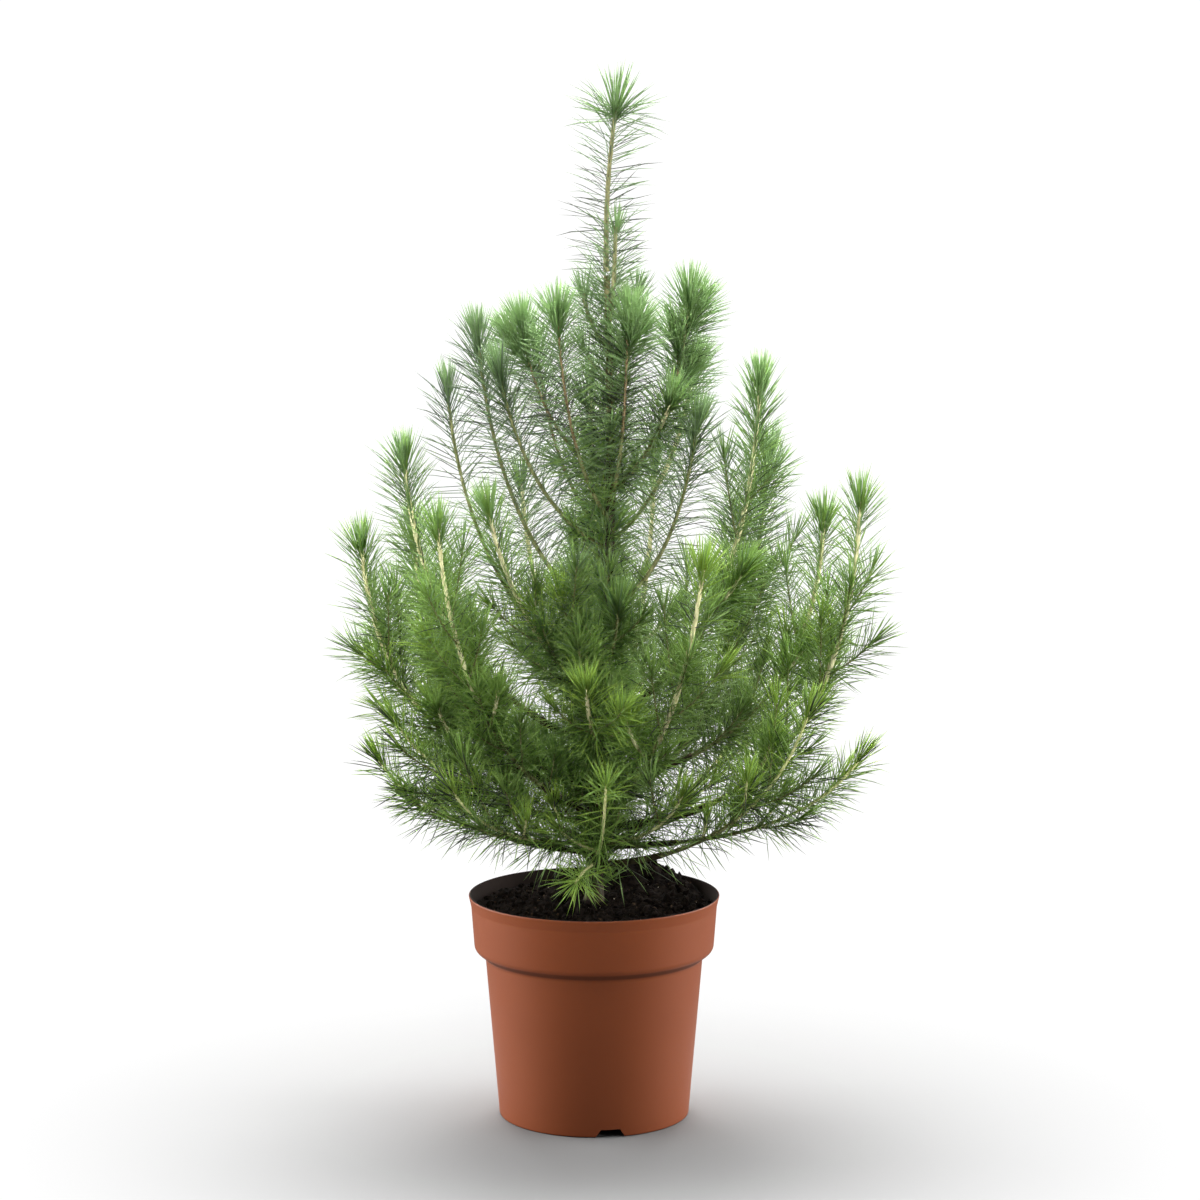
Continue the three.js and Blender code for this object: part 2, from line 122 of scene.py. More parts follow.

# One row a limb: name, height where it leaves the trunk, azimuth, reach of its tip from
# the pot's axis, height of its tip, start angle above level, how far out it turns up,
# length of bare bough, side twigs, tone of its tip (3 is bright) and style of its needles.
# The low tones on limbs at the back and deep inside the crown are partly painted shade.
LIMBS = [
    ("right_low", 152, -4, 156, 222, 0, 0.85, 44, 2, 2, "low"),
    ("right_low_front", 141, -26, 134, 258, 8, 0.85, 40, 2, 2, "low"),
    ("front_right_low", 153, -56, 94, 212, 10, 0.85, 0, 1, 2, "low"),
    ("front", 147, -86, 98, 224, 14, 0.85, 0, 1, 3, "star"),
    ("front_lowest", 142, -101, 74, 137, 8, 0.6, 0, 0, 3, "star"),
    ("left_low_inner", 154, 219, 106, 216, 4, 0.9, 0, 2, 3, "low"),
    ("left_low", 148, 186, 128, 222, 6, 0.85, 42, 2, 3, "low"),
    ("left_low_high", 164, 202, 124, 248, 12, 0.85, 0, 1, 3, "low"),
    ("back_right_low", 150, 42, 134, 262, 10, 0.9, 44, 2, 1, "low"),
    ("back_low", 144, 88, 132, 230, 6, 0.85, 40, 2, 1, "low"),
    ("back_left_low", 152, 134, 132, 258, 8, 0.9, 42, 2, 1, "low"),
    ("right_outer", 163, -9, 147, 368, 2, 1.0, 62, 2, 3, "front"),
    ("right_mid", 188, 12, 131, 352, 6, 1.04, 52, 2, 2, "front"),
    ("right_high", 222, 26, 104, 427, 20, 0.98, 44, 1, 3, "full"),
    ("right_back", 174, 40, 130, 384, 10, 0.98, 56, 2, 1, "full"),
    ("front_right", 172, -48, 90, 336, 26, 0.8, 0, 1, 3, "front"),
    ("front_mid", 206, -94, 72, 272, 14, 0.9, 0, 1, 2, "front"),
    ("front_left", 170, 213, 101, 357, 18, 0.92, 42, 1, 3, "front"),
    ("front_left_high", 228, 218, 76, 365, 38, 0.85, 0, 1, 3, "front"),
    ("left_outer", 186, 190, 129, 343, 5, 1.0, 52, 2, 2, "front"),
    ("mid_left", 206, 180, 105, 388, 20, 0.98, 46, 1, 2, "plume"),
    ("mid_left_back", 240, 160, 88, 424, 30, 0.95, 0, 1, 1, "open"),
    ("back_right", 214, 70, 104, 376, 22, 0.92, 0, 2, 2, "open"),
    ("back_left", 218, 114, 106, 366, 20, 0.92, 0, 2, 2, "open"),
    ("back_outer", 168, 92, 134, 330, 12, 0.98, 54, 2, 2, "open"),
    ("back_left_outer", 180, 144, 130, 338, 12, 0.98, 52, 2, 2, "plume"),
    ("back_high", 262, 92, 74, 424, 32, 0.9, 0, 1, 3, "open"),
    ("upper_left", 276, 172, 66, 455, 34, 0.9, 0, 1, 1, "plume"),
    ("upper_left_front", 318, 196, 57, 437, 26, 0.8, 0, 0, 1, "plume"),
    ("upper_right", 284, -14, 60, 410, 30, 0.85, 0, 1, 1, "plume"),
    ("high_left", 356, 174, 42, 461, 32, 0.9, 0, 0, 3, "head"),
    ("high_front_left", 334, 238, 38, 470, 44, 0.95, 0, 1, 3, "head"),
    ("high_front_right", 346, -52, 30, 469, 44, 0.95, 0, 0, 3, "head"),
    ("high_right", 350, 4, 54, 478, 36, 0.9, 0, 1, 3, "head"),
    ("high_back_left", 322, 128, 54, 446, 34, 0.9, 0, 1, 2, "open"),
    ("high_back_right", 322, 28, 64, 437, 32, 0.92, 0, 1, 3, "plume"),
    ("crest_front", 440, -45, 17, 516, 56, 0.9, 0, 0, 2, "bud"),
    ("crest_left", 430, 175, 8, 480, 34, 0.9, 0, 0, 1, "bud"),
    ("crest_right", 424, 14, 26, 480, 30, 0.9, 0, 0, 1, "bud"),
    ("inner_front_left", 250, 242, 44, 318, 26, 0.9, 0, 0, 1, "front"),
    ("inner_front_right", 252, -70, 42, 314, 28, 0.9, 0, 0, 1, "front"),
]
LEADER_BEND = (5.0, -1.0, 522.0)
LEADER_TIP = (15.5, -2.0, 580.0)
LEADER_TONE = 2
# Limbs with lime tips: these, and all whose tip is below LIME_BELOW.
LIME_TIPS = ("front_right", "front_mid", "inner_front_left", "front_right_low")
LIME_BELOW = 264.0
# Limbs with the most fine twigs.
FULL_LIMBS = ("front_left", "left_outer", "inner_front_left", "inner_front_right", "left_low_inner",
              "left_low_high", "front_mid", "back_left_outer", "right_back")
# Side twigs of the high heads: azimuth, and how far below the head's tip each one starts.
HEADS = {"high_right": ((-10, 24), (190, 40), (-20, 56)), "high_left": ((170, 24),),
         "high_front_left": ((178, 13), (20, 36)), "high_front_right": ((-20, 24),)}
# A style of needles. Tuft: how many, length, depth along the stem, lean of the outermost.
# Sleeve: needles to a mm near the tip, distance over which they thin out, needles to a mm
# lower down, length, lean near the tip and lower down, distance over which it opens. Last,
# how much deeper in tone the sleeve is.
STYLES = {
    "head": ((96, 25.0, 13.0, 33.0), (5.4, 38.0, 3.0, 26.0, 36.0, 74.0, 26.0), 1.2),
    "plume": ((56, 23.0, 8.0, 22.0), (5.0, 36.0, 1.9, 26.5, 22.0, 76.0, 36.0), 1.2),
    "full": ((70, 23.0, 9.0, 24.0), (5.4, 70.0, 3.5, 26.0, 22.0, 66.0, 40.0), 1.0),
    "front": ((52, 24.0, 9.0, 30.0), (3.8, 24.0, 3.0, 25.0, 30.0, 63.0, 26.0), 0.7),
    "low": ((28, 21.0, 5.0, 27.0), (2.2, 16.0, 1.4, 23.0, 34.0, 67.0, 22.0), 0.8),
    "star": ((16, 17.0, 4.0, 28.0), (1.3, 14.0, 1.0, 20.0, 38.0, 68.0, 14.0), 0.2),
    "open": ((36, 22.0, 6.0, 19.0), (3.0, 24.0, 1.25, 26.0, 24.0, 76.0, 34.0), 1.8),
    "leader": ((36, 28.0, 6.0, 26.0), (2.6, 12.0, 2.2, 27.5, 32.0, 76.0, 16.0), 1.5),
    "bud": ((22, 17.0, 5.0, 26.0), (2.6, 12.0, 2.0, 23.0, 34.0, 66.0, 18.0), 1.0),
    "twig": ((9, 19.0, 6.0, 24.0), (2.6, 12.0, 2.2, 24.0, 28.0, 62.0, 20.0), 0.7),
}
# Needle widths, thinnest and widest; those that lean less than TUFT_LEAN are wider.
NEEDLE_THIN = 0.45
NEEDLE_THICK = 0.67
TUFT_LEAN = 30 * DEG
TUFT_WIDER = 1.25
# How much they droop, and how much longer the leader's may be.
DROOP = 0.06
LEADER_MORE = 8.0
# Fine twigs: heights between which their tips lie, the ceiling on limbs with sky between
# them, range of length and of lean in degrees, rise, radii, and needles past the end.
FINE_ABOVE = 158.0
FINE_BELOW = 390.0
SKY_ABOVE = 296.0
SKY_LIMBS = ("upper_left", "upper_left_front", "high_back_left", "back_high", "mid_left_back",
             "back_left", "back_right", "high_front_left", "mid_left", "upper_right",
             "high_back_right")
FINE_LENGTH = (28.0, 56.0)
FINE_LEAN = (26, 44)
FINE_LIFT = 0.3
FINE_RADII = (0.7, 0.5)
FINE_NEEDLE = 8.0
# Turn from one needle or twig to the next round its stem, in radians.
NEEDLE_TURN = 2.39996
TWIG_TURN = 2.4
# Height at which needles start on the trunk, and how many there are to a mm.
TRUNK_CLEAN = 127.0
TRUNK_NEEDLES = 9.0
# Share of old needles missing on the side of a shoot that faces away from the trunk.
OUTER_FACE = 0.55
OUTER_BARE = 0.7
OUTER_FROM = 14.0
# Share missing under the limbs near the trunk's foot.
FOOT_UNDER = -0.3
FOOT_BELOW = 180.0
FOOT_REACH = 95.0
FOOT_BARE = 0.6
# Share of dark needles, partly the colour of old needles and partly painted shade. It grows
# with the distance below a shoot's tip to DUSK_HIGH above this height and to DUSK_LOW below
# it. On the undersides of the low limbs it is the fixed share below, which is painted shade.
DUSK_FROM = 12.0
DUSK_FADE = 45.0
DUSK_ABOVE = 380.0
DUSK_HIGH = 0.45
DUSK_LOW = 0.12
DUSK_LEADER = 0.8
UNDERSIDE = -0.1
PAINTED_SHADE_UNDER = 0.35
# Needles are bluish above WARM_TOP and yellowish WARM_FADE below it.
WARM_TOP = 410.0
WARM_FADE = 150.0


# ---- seeded rule
def seeded(seed):
    """One after another, the same random numbers as the CAD source's."""
    state = seed & 0xFFFFFFFF
    while True:
        state = (state + 0x6D2B79F5) & 0xFFFFFFFF
        t = ((state ^ (state >> 15)) * (state | 1)) & 0xFFFFFFFF
        mixed = ((t ^ (t >> 7)) * (t | 61)) & 0xFFFFFFFF
        t ^= (t + mixed) & 0xFFFFFFFF
        yield ((t ^ (t >> 14)) & 0xFFFFFFFF) / 4294967296.0


rng = np.random.default_rng(4107)


def heading(azimuth):
    return np.array([math.cos(azimuth * DEG), math.sin(azimuth * DEG)])


def unit(v):
    return v / np.maximum(np.linalg.norm(v, axis=-1, keepdims=True), 1e-9)


# ---- trunk and paths
def trunk_axis(z):
    t = (z - GROUND) / (TRUNK_TOP - GROUND)
    x = BOW_X * np.sin(0.72 * math.pi * t)
    y = BOW_Y * np.sin(1.8 * math.pi * t)
    return np.stack([x, y, z], axis=-1)


def trunk_radius(z):
    t = (z - GROUND) / (TRUNK_TOP - GROUND)
    taper = TRUNK_FOOT_RADIUS + (TRUNK_TIP_RADIUS - TRUNK_FOOT_RADIUS) * t
    return taper + FLARE_EXTRA * np.exp(-(z - GROUND) / FLARE_FADE)


class Path:
    """Quadratic curve read by its running length."""

    def __init__(self, start, bend, end):
        self.start, self.bend, self.end = np.array([start, bend, end], float)
        self.t = np.linspace(0.0, 1.0, 201)
        points = self.place(self.t)
        steps = np.linalg.norm(np.diff(points, axis=0), axis=1)
        self.run = np.concatenate([[0.0], np.cumsum(steps)])
        self.length = float(self.run[-1])

    def place(self, t):
        t = np.asarray(t, float)[..., None]
        return (1 - t) ** 2 * self.start + 2 * t * (1 - t) * self.bend + t * t * self.end

    def at(self, s):
        return self.place(np.interp(s, self.run, self.t))

    def along(self, s):
        t = np.interp(s, self.run, self.t)[..., None]
        return unit((1 - t) * (self.bend - self.start) + t * (self.end - self.bend))


def limb_path(row):
    leaves, azimuth, reach, top, rise, turn = row[1:7]
    start = trunk_axis(leaves)
    end = np.array([*(reach * heading(azimuth)), top])
    out = end[:2] - start[:2]
    lift = turn * math.hypot(*out) * math.tan(rise * DEG)
    bend = start + np.array([*(turn * out), lift])
    return Path(start, bend, end)


def clear_of_trunk(path):
    start = path.at(0.0)
    wanted = trunk_radius(start[2] - ROOT_HALF) + CLEAR
    s = 0.0
    while math.hypot(*(path.at(s) - start)[:2]) < wanted:
        s += 0.02
    return s


@dataclass
class Stem:
    """A needled stem. Rank 0 is a main shoot, 1 a side twig, 2 a fine twig, 3 bare wood."""

    owner: str
    path: Path
    start: float
    end: float
    r0: float
    r1: float
    tone: int
    rank: int
    lime: bool = False
    style: str = "twig"

    def __post_init__(self):
        steps = math.ceil((self.end - self.start) / 2.0)
        self.points = self.path.at(np.linspace(self.start, self.end, steps + 1))


def nearest(points, place):
    return float(np.sqrt(((points - place) ** 2).sum(axis=1).min()))


def twig_path(path, s, side, length):
    start = path.at(s)
    along = path.along(s)
    level = unit(np.array([-along[1], along[0], 0.0])) * side
    outward = along * 0.55 + level * 0.8
    outward[2] += 0.1
    outward = unit(outward)
    bend = start + outward * length * 0.55
    end = bend + outward * length * 0.25
    end[2] += length * 0.42
    return Path(start, bend, end)


stems = []
boughs = []
wood_places = [trunk_axis(z) for z in np.arange(GROUND, TRUNK_TOP + 0.1, 3.0)]
wood_radii = [float(trunk_radius(p[2])) for p in wood_places]


def keeps_away(points, owner):
    for other in stems:
        skip = TWIG_SKIP if other.owner == owner else 0
        for place in points[skip:]:
            if nearest(other.points, place) < TWIG_APART:
                return False
    for centre, radius in zip(wood_places, wood_radii):
        if nearest(points, centre) < radius + TWIG_OFF_WOOD:
            return False
    return True


def lay_out_limbs():
    """Boughs, main shoots and the leader by the CAD source's rule."""
    for row in LIMBS:
        name, bare, tone, style = row[0], row[7], row[9], row[10]
        path = limb_path(row)
        start = clear_of_trunk(path)
        r0 = ROOT_RADIUS + ROOT_MORE * path.length
        end = path.length - TIP_NEEDLE

        def radius_at(s, r0=r0, end=end):
            return r0 + (CORE_RADIUS - r0) * min(1.0, s / end) ** 0.8

        begin = start
        if bare > 0:
            boughs.append((name, path, start, float(bare), r0, radius_at(bare)))
            s = start
            while s <= bare:
                wood_places.append(path.at(s))
                wood_radii.append(radius_at(s))
                s += 3.0
            begin = bare + CLEAR
        lime = name in LIME_TIPS or row[4] < LIME_BELOW
        stems.append(Stem(name, path, begin, end, radius_at(begin), CORE_RADIUS, tone, 0, lime, style))
    top = trunk_axis(TRUNK_TOP)
    top[2] += CLEAR
    path = Path(top, LEADER_BEND, LEADER_TIP)
    stems.append(Stem("leader", path, 0.0, path.length - TIP_NEEDLE, TRUNK_TIP_RADIUS,
                      CORE_RADIUS, LEADER_TONE, 0, False, "leader"))


def add_side_twigs():
    """Side twigs by the source's rule, in pairs of tries, left and right."""
    counts = {row[0]: row[8] for row in LIMBS}
    draw = seeded(20261)
    for main in list(stems):
        wanted = counts.get(main.owner, 0)
        room = main.end - main.start
        for i in range(wanted):
            s = main.start + room * (TWIG_FROM + (TWIG_OVER * (i + next(draw) * 0.4)) / wanted)
            length = TWIG_LENGTH + TWIG_MORE * next(draw)
            first = 1 if (i + int(next(draw) * 2)) % 2 else -1
            for side in (first, -first):
                path = twig_path(main.path, s, side, length)
                far = path.length - TIP_NEEDLE * 0.6
                steps = math.ceil((far - 6.0) / 2.0)
                points = path.at(np.linspace(6.0, far, steps + 1))
                if keeps_away(points, main.owner):
                    stems.append(Stem(main.owner, path, 0.0, path.length - TIP_NEEDLE,
                                      CORE_RADIUS, CORE_RADIUS * 0.9, main.tone, 1, main.lime,
                                      main.style))
                    break


lay_out_limbs()
add_side_twigs()


# ---- finer twigs
def frame_at(path, s):
    along = path.along(s)
    level = np.stack([-along[..., 1], along[..., 0], np.zeros_like(along[..., 0])], axis=-1)
    flat = np.linalg.norm(level, axis=-1, keepdims=True)
    level = unit(np.where(flat < 1e-4, np.array([1.0, 0.0, 0.0]), level))
    return along, level, np.cross(along, level)


def fine_twig(path, s, angle, length, lean, lift):
    start = path.at(s)
    along, level, rise = frame_at(path, s)
    outward = level * math.cos(angle) + rise * math.sin(angle)
    outward = unit(along * math.cos(lean) + outward * math.sin(lean))
    bend = start + outward * length * 0.5
    end = bend + outward * length * 0.35
    end[2] += length * lift
    return Path(start, bend, end)


def turn_towards(path, s, azimuth):
    """Angle round a path at which a twig leaves it nearest to the given azimuth."""
    along, level, rise = frame_at(path, s)
    aim = np.array([*heading(azimuth), 0.0])
    return math.atan2(float(aim @ rise), float(aim @ level))


def twig_gap(main):
    """From one fine twig to the next along a stem."""
    if main.owner in FULL_LIMBS:
        return 8.0
    if main.style == "low":
        return 19.0
    return 11.0 if main.rank == 0 else 16.0


def add_fine(owner, path, tone, lime=False, start=0.0, style="twig"):
    end = path.length - FINE_NEEDLE
    stems.append(Stem(owner, path, start, end, *FINE_RADII, tone, 2, lime, style))


def add_fine_to_shoot(main):
    """Fine twigs on a shoot below its brush, closer together low in the crown."""
    gap = twig_gap(main)
    s = main.start + 8.0 + 10.0 * rng.random()
    turn = rng.random() * 6.28
    while s < main.start + (main.end - main.start) * 0.7:
        turn += TWIG_TURN
        size = rng.uniform(*FINE_LENGTH)
        path = fine_twig(main.path, s, turn, size, rng.uniform(*FINE_LEAN) * DEG, FINE_LIFT)
        outer = np.hypot(path.end[0], path.end[1]) / 110.0
        lime = path.end[2] < 300.0 and rng.random() < 0.5 * outer
        tone = max(1, main.tone - int(rng.integers(0, 3)))
        ceiling = SKY_ABOVE if main.owner in SKY_LIMBS else FINE_BELOW
        if FINE_ABOVE < path.end[2] < ceiling:
            add_fine(main.owner, path, tone, lime)
        s += gap * rng.uniform(0.7, 1.3) * (1.0 if path.end[2] < 310.0 else 1.8)


def add_head_twigs(main):
    """The side twigs of a high head, each turned towards its azimuth."""
    for azimuth, below in HEADS.get(main.owner, ()):
        s = main.end - below
        size = rng.uniform(36.0, 42.0)
        turn = turn_towards(main.path, s, azimuth)
        path = fine_twig(main.path, s, turn, size, rng.uniform(15, 20) * DEG, 0.12)
        end = path.length - 2 * FINE_NEEDLE
        stems.append(Stem(main.owner, path, 0.0, end, 0.8, 0.6, main.tone, 1, main.lime, main.style))


def add_fine_twigs():
    """Short shoots on every long shoot, on the fullest boughs and on the trunk."""
    for main in list(stems):
        if main.style in ("leader", "star") or main.end - main.start < 50.0:
            continue
        add_fine_to_shoot(main)
        if main.rank == 0:
            add_head_twigs(main)
    for name, path, start, end, r0, r1 in boughs:
        if name not in FULL_LIMBS:
            continue
        for s in np.arange(start + 9.0, end, 8.0):
            size = rng.uniform(22.0, 36.0)
            angle = rng.uniform(0.3, 2.8)
            twig = fine_twig(path, s, angle, size, rng.uniform(45, 70) * DEG, FINE_LIFT)
            add_fine(name, twig, int(rng.integers(1, 3)))
    trunk = Path(trunk_axis(GROUND), trunk_axis(300.0), trunk_axis(TRUNK_TOP))
    turn = 0.4
    for z in np.arange(150.0, 422.0, 9.0):
        turn += TWIG_TURN
        s = np.interp(z, trunk.place(trunk.t)[:, 2], trunk.run)
        size = rng.uniform(24.0, 42.0) * (0.75 if z > 290.0 else 1.0)
        path = fine_twig(trunk, s, turn, size, rng.uniform(40, 56) * DEG, 0.35)
        add_fine("trunk", path, int(rng.integers(1, 4)), False, 3.0, "bud")


def shows(stem):
    """False for a side twig that would close the sky between the upper limbs."""
    return not (stem.owner in SKY_LIMBS and stem.rank == 1 and stem.path.end[2] > SKY_ABOVE)


add_fine_twigs()
stems = [stem for stem in stems if shows(stem)]


# ---- needles
TONES = ("shade", "deep", "green", "fresh", "bright")
LIME = 2 * len(TONES)
DUSK = LIME + 1
LOW_LIMBS = [row[0] for row in LIMBS if row[10] == "low"]
needles = []


def needle_kinds(stem, below, outward, root, tone, lime_share):
    """Number of each needle's colour: by tone, height, chance of lime, and age; its dark needles are
    partly painted shade, and wholly so under the low limbs.
    """
    count = len(below)
    level = np.clip(np.round(tone + rng.normal(0.0, 0.45, count)), 0, len(TONES) - 1)
    warm = rng.random(count) < (WARM_TOP - root[:, 2]) / WARM_FADE
    kind = np.where(warm, level + len(TONES), level)
    kind = np.where(rng.random(count) < lime_share, LIME, kind).astype(int)
    most = np.where(root[:, 2] > DUSK_ABOVE, DUSK_HIGH, DUSK_LOW)
    if stem.owner == "leader":
        most = DUSK_LEADER
    dusk_share = most * np.clip((below - DUSK_FROM) / DUSK_FADE, 0.0, 1.0)
    # Painted shade on the undersides of the low limbs.
    if stem.owner in LOW_LIMBS:
        dusk_share = np.where(outward[:, 2] < UNDERSIDE, PAINTED_SHADE_UNDER, dusk_share)
    return np.where(rng.random(count) < dusk_share, DUSK, kind)


def needles_kept(stem, below, outward, root):
    """True for the needles that stay: old shoots are barer outside and near the foot."""
    count = len(below)
    away = unit(root * np.array([1.0, 1.0, 0.0]))
    outer = (outward * away).sum(axis=1) > OUTER_FACE
    share = OUTER_BARE if stem.style in ("front", "low", "star") and stem.rank < 2 else 0.0
    keep = ~(outer & (below > OUTER_FROM) & (rng.random(count) < share))
    under = (outward[:, 2] < FOOT_UNDER) & (root[:, 2] < FOOT_BELOW)
    under = under & (np.hypot(root[:, 0], root[:, 1]) < FOOT_REACH) & (stem.style != "star")
    return keep & ~(under & (rng.random(count) < FOOT_BARE))


def place_needles(stem, below, lean, size, curl, tone, lime_share):
    """Needles round a stem, each at its distance below the tip and its own lean off the stem."""
    count = len(below)
    s = stem.end - below
    angle = np.arange(count) * NEEDLE_TURN + rng.normal(0.0, 0.3, count)
    along, level, rise = frame_at(stem.path, s)
    outward = level * np.cos(angle)[:, None] + rise * np.sin(angle)[:, None]
    lean = np.abs(lean) * DEG
    direction = along * np.cos(lean)[:, None] + outward * np.sin(lean)[:, None]
    share = (s - stem.start) / max(stem.end - stem.start, 1.0)
    radius = stem.r0 + (stem.r1 - stem.r0) * np.clip(share, 0.0, 1.0) ** 0.5
    root = stem.path.at(s) + outward * (radius * 0.6)[:, None]
    bend = along * curl[:, None] + rng.normal(0.0, 0.045, (count, 3))
    bend[:, 2] -= DROOP * np.sin(lean)
    width = rng.uniform(NEEDLE_THIN, NEEDLE_THICK, count)
    width = width * np.where(lean < TUFT_LEAN, TUFT_WIDER, 1.0)
    kind = needle_kinds(stem, below, outward, root, tone, lime_share)
    keep = needles_kept(stem, below, outward, root)
    needles.append([part[keep] for part in (root, direction, bend, size, width, kind)])


def tuft(stem, count, length, depth, spread):
    """Young needles close round the bud, pointing on along the stem."""
    below = depth * rng.random(count) ** 1.2
    lean = 1.0 + spread * rng.random(count) ** 0.8
    reach = TIP_NEEDLE + (LEADER_MORE if stem.style == "leader" else 0.0)
    size = np.minimum(length * rng.uniform(0.8, 1.04, count), reach + below)
    curl = rng.uniform(0.0, 0.05, count)
    lime = 0.75 if stem.lime else 0.0
    place_needles(stem, below, lean, size, curl, stem.tone + 1.3, lime)


def spread_along(length, dense, fade, sparse):
    """Distances below the tip: dense needles near it, thinning out to sparse ones."""
    grid = np.linspace(0.0, length, 400)
    rate = sparse + (dense - sparse) * np.exp(-((grid / fade) ** 2))
    total = np.concatenate([[0.0], np.cumsum((rate[1:] + rate[:-1]) * 0.5 * np.diff(grid))])
    count = int(total[-1])
    chosen = (np.arange(count) + rng.random(count)) / max(count, 1) * total[-1]
    return np.interp(chosen, total, grid)


def sleeve(stem, deeper, dense, fade, sparse, length, lean_tip, lean_old, opening):
    """Needles all along a stem, laid to it below the tuft and spread wider lower down."""
    below = 3.0 + spread_along(stem.end - stem.start - 3.0, dense, fade, sparse)
    count = len(below)
    if count < 2:
        return
    lean = lean_tip + (lean_old - lean_tip) * (1.0 - np.exp(-below / opening))
    lean = lean + rng.normal(0.0, 9.0, count)
    ripe = 1.0 - np.exp(-below / 25.0)
    curl = rng.uniform(-0.10, 0.12, count) * ripe
    size = length * rng.uniform(0.80, 1.06, count)
    old = np.clip((below - 12.0) / 110.0, 0.0, 1.0)
    lime = np.where(below < 20.0, 0.55, 0.12) if stem.lime else 0.0
    place_needles(stem, below, lean, size, curl, stem.tone + 1.3 - deeper - 0.8 * old, lime)


def whorl(stem, count, length, low, high):
    """A star of long needles, spread out level round the bud."""
    below = 1.0 + 7.0 * rng.random(count)
    lean = rng.uniform(low, high, count)
    size = length * rng.uniform(0.8, 1.05, count)
    curl = rng.uniform(-0.08, 0.08, count)
    place_needles(stem, below, lean, size, curl, stem.tone + 0.6, 0.35 if stem.lime else 0.0)


def trunk_needles():
    """Old needles all round the trunk, from just above the soil to its tip."""
    count = int((TRUNK_TOP - TRUNK_CLEAN) * TRUNK_NEEDLES)
    bare = Path(trunk_axis(TRUNK_CLEAN), trunk_axis(301.0), trunk_axis(TRUNK_TOP))
    whole = Stem("trunk", bare, 0.0, bare.length, TRUNK_FOOT_RADIUS, TRUNK_TIP_RADIUS, 1, 3)
    below = rng.random(count) ** 0.8 * bare.length
    lean = rng.normal(60.0, 12.0, count) - 26.0 * (below > bare.length - 30.0)
    size = rng.uniform(20.0, 29.0, count)
    curl = rng.uniform(-0.1, 0.1, count)
    tone = 3.6 - 1.8 * below / bare.length
    place_needles(whole, below, lean, size, curl, tone, 0.0)


def grow_needles():
    for stem in stems:
        brush, along, deeper = STYLES[stem.style]
        less = 0.75 if stem.rank == 1 else 1.0
        sleeve(stem, deeper, *along)
        tuft(stem, int(brush[0] * less), *brush[1:])
        if stem.style == "leader":
            whorl(stem, 66, 31.0, 44.0, 98.0)
        if stem.style == "star":
            whorl(stem, 24, 22.0, 34.0, 100.0)
    for name, path, start, end, r0, r1 in boughs:
        old_part = Stem(name, path, start + 6.0, end, r0, r1, 1, 3)
        dense = 0.9 if name.startswith("right") else 1.9
        sleeve(old_part, 1.0, dense, 10.0, dense, 24.0, 62.0, 70.0, 20.0)
    trunk_needles()


grow_needles()


# ---- materials
# Base colour of each kind of needle: upper crown, bluish and darker, the darkness being painted
# shade that tones down the top light, then lower crown, yellowish, each in TONES from shade to
# bright; then lime tips, and dark needles, partly the colour of old ones and partly painted shade.
NEEDLE_COLOURS = {
    "cool_shade": (0.100, 0.145, 0.085),
    "cool_deep": (0.135, 0.212, 0.096),
    "cool_green": (0.165, 0.270, 0.102),
    "cool_fresh": (0.190, 0.322, 0.108),
    "cool_bright": (0.215, 0.366, 0.115),
    "warm_shade": (0.120, 0.192, 0.060),
    "warm_deep": (0.155, 0.258, 0.066),
    "warm_green": (0.186, 0.316, 0.070),
    "warm_fresh": (0.216, 0.368, 0.074),
    "warm_bright": (0.245, 0.415, 0.080),
    "lime": (0.300, 0.475, 0.066),
    "dusk": (0.060, 0.080, 0.044),
}
# Bark of trunk and boughs, dark and light, and the rind that fades in over it between
# these heights in mm.
BARK_COLOURS = ((0.024, 0.019, 0.011), (0.080, 0.063, 0.035))
YOUNG_RIND = (0.19, 0.18, 0.08)
YOUNG_FROM = 330.0
YOUNG_FULL = 440.0
# Each group of young stems: dark and light of its rind, and width against the solid's core.
STEM_GROUPS = {
    "olive": ((0.17, 0.17, 0.075), (0.33, 0.32, 0.16), 1.1),
    "pale": ((0.50, 0.47, 0.22), (0.90, 0.86, 0.54), 1.2),
    "slim": ((0.50, 0.52, 0.20), (0.86, 0.86, 0.44), 0.75),
    "tan": ((0.18, 0.13, 0.06), (0.34, 0.26, 0.14), 0.7),
    "dull": ((0.11, 0.12, 0.045), (0.27, 0.28, 0.12), 0.85),
}
# Pot: terracotta plastic, and the painted shade inside it and over its lip, between
# these values of the radius in metres times how squarely the wall faces out.
CLAY_COLOURS = ((0.250, 0.056, 0.013), (0.290, 0.068, 0.017))
POT_PAINTED_SHADE = (0.020, 0.010, 0.007)
PAINTED_SHADE_NONE = 0.052
PAINTED_SHADE_FULL = 0.024
# Dark and light of the peat, its fibres and the pale grit.
PEAT_COLOURS = ((0.0026, 0.0020, 0.0016), (0.021, 0.0145, 0.0105))
FIBRE_COLOURS = ((0.022, 0.014, 0.009), (0.085, 0.056, 0.034))
GRIT_COLOURS = ((0.34, 0.28, 0.19), (0.75, 0.70, 0.58))


def new_material(name):
    material = bpy.data.materials.new(name)
    material.use_nodes = True
    return material, material.node_tree, material.node_tree.nodes["Principled BSDF"]


def feed(tree, node, inputs):
    """Link each input that is given a socket, and set each that is given a value."""
    for name, value in inputs.items():
        if isinstance(value, bpy.types.NodeSocket):
            tree.links.new(value, node.inputs[name])
        else:
            node.inputs[name].default_value = value


def add_node(tree, kind, inputs, **choices):
    """The outputs of a new node, with its choices made and its inputs fed."""
    node = tree.nodes.new("ShaderNode" + kind)
    for name, choice in choices.items():
        setattr(node, name, choice)
    feed(tree, node, inputs)
    return node.outputs


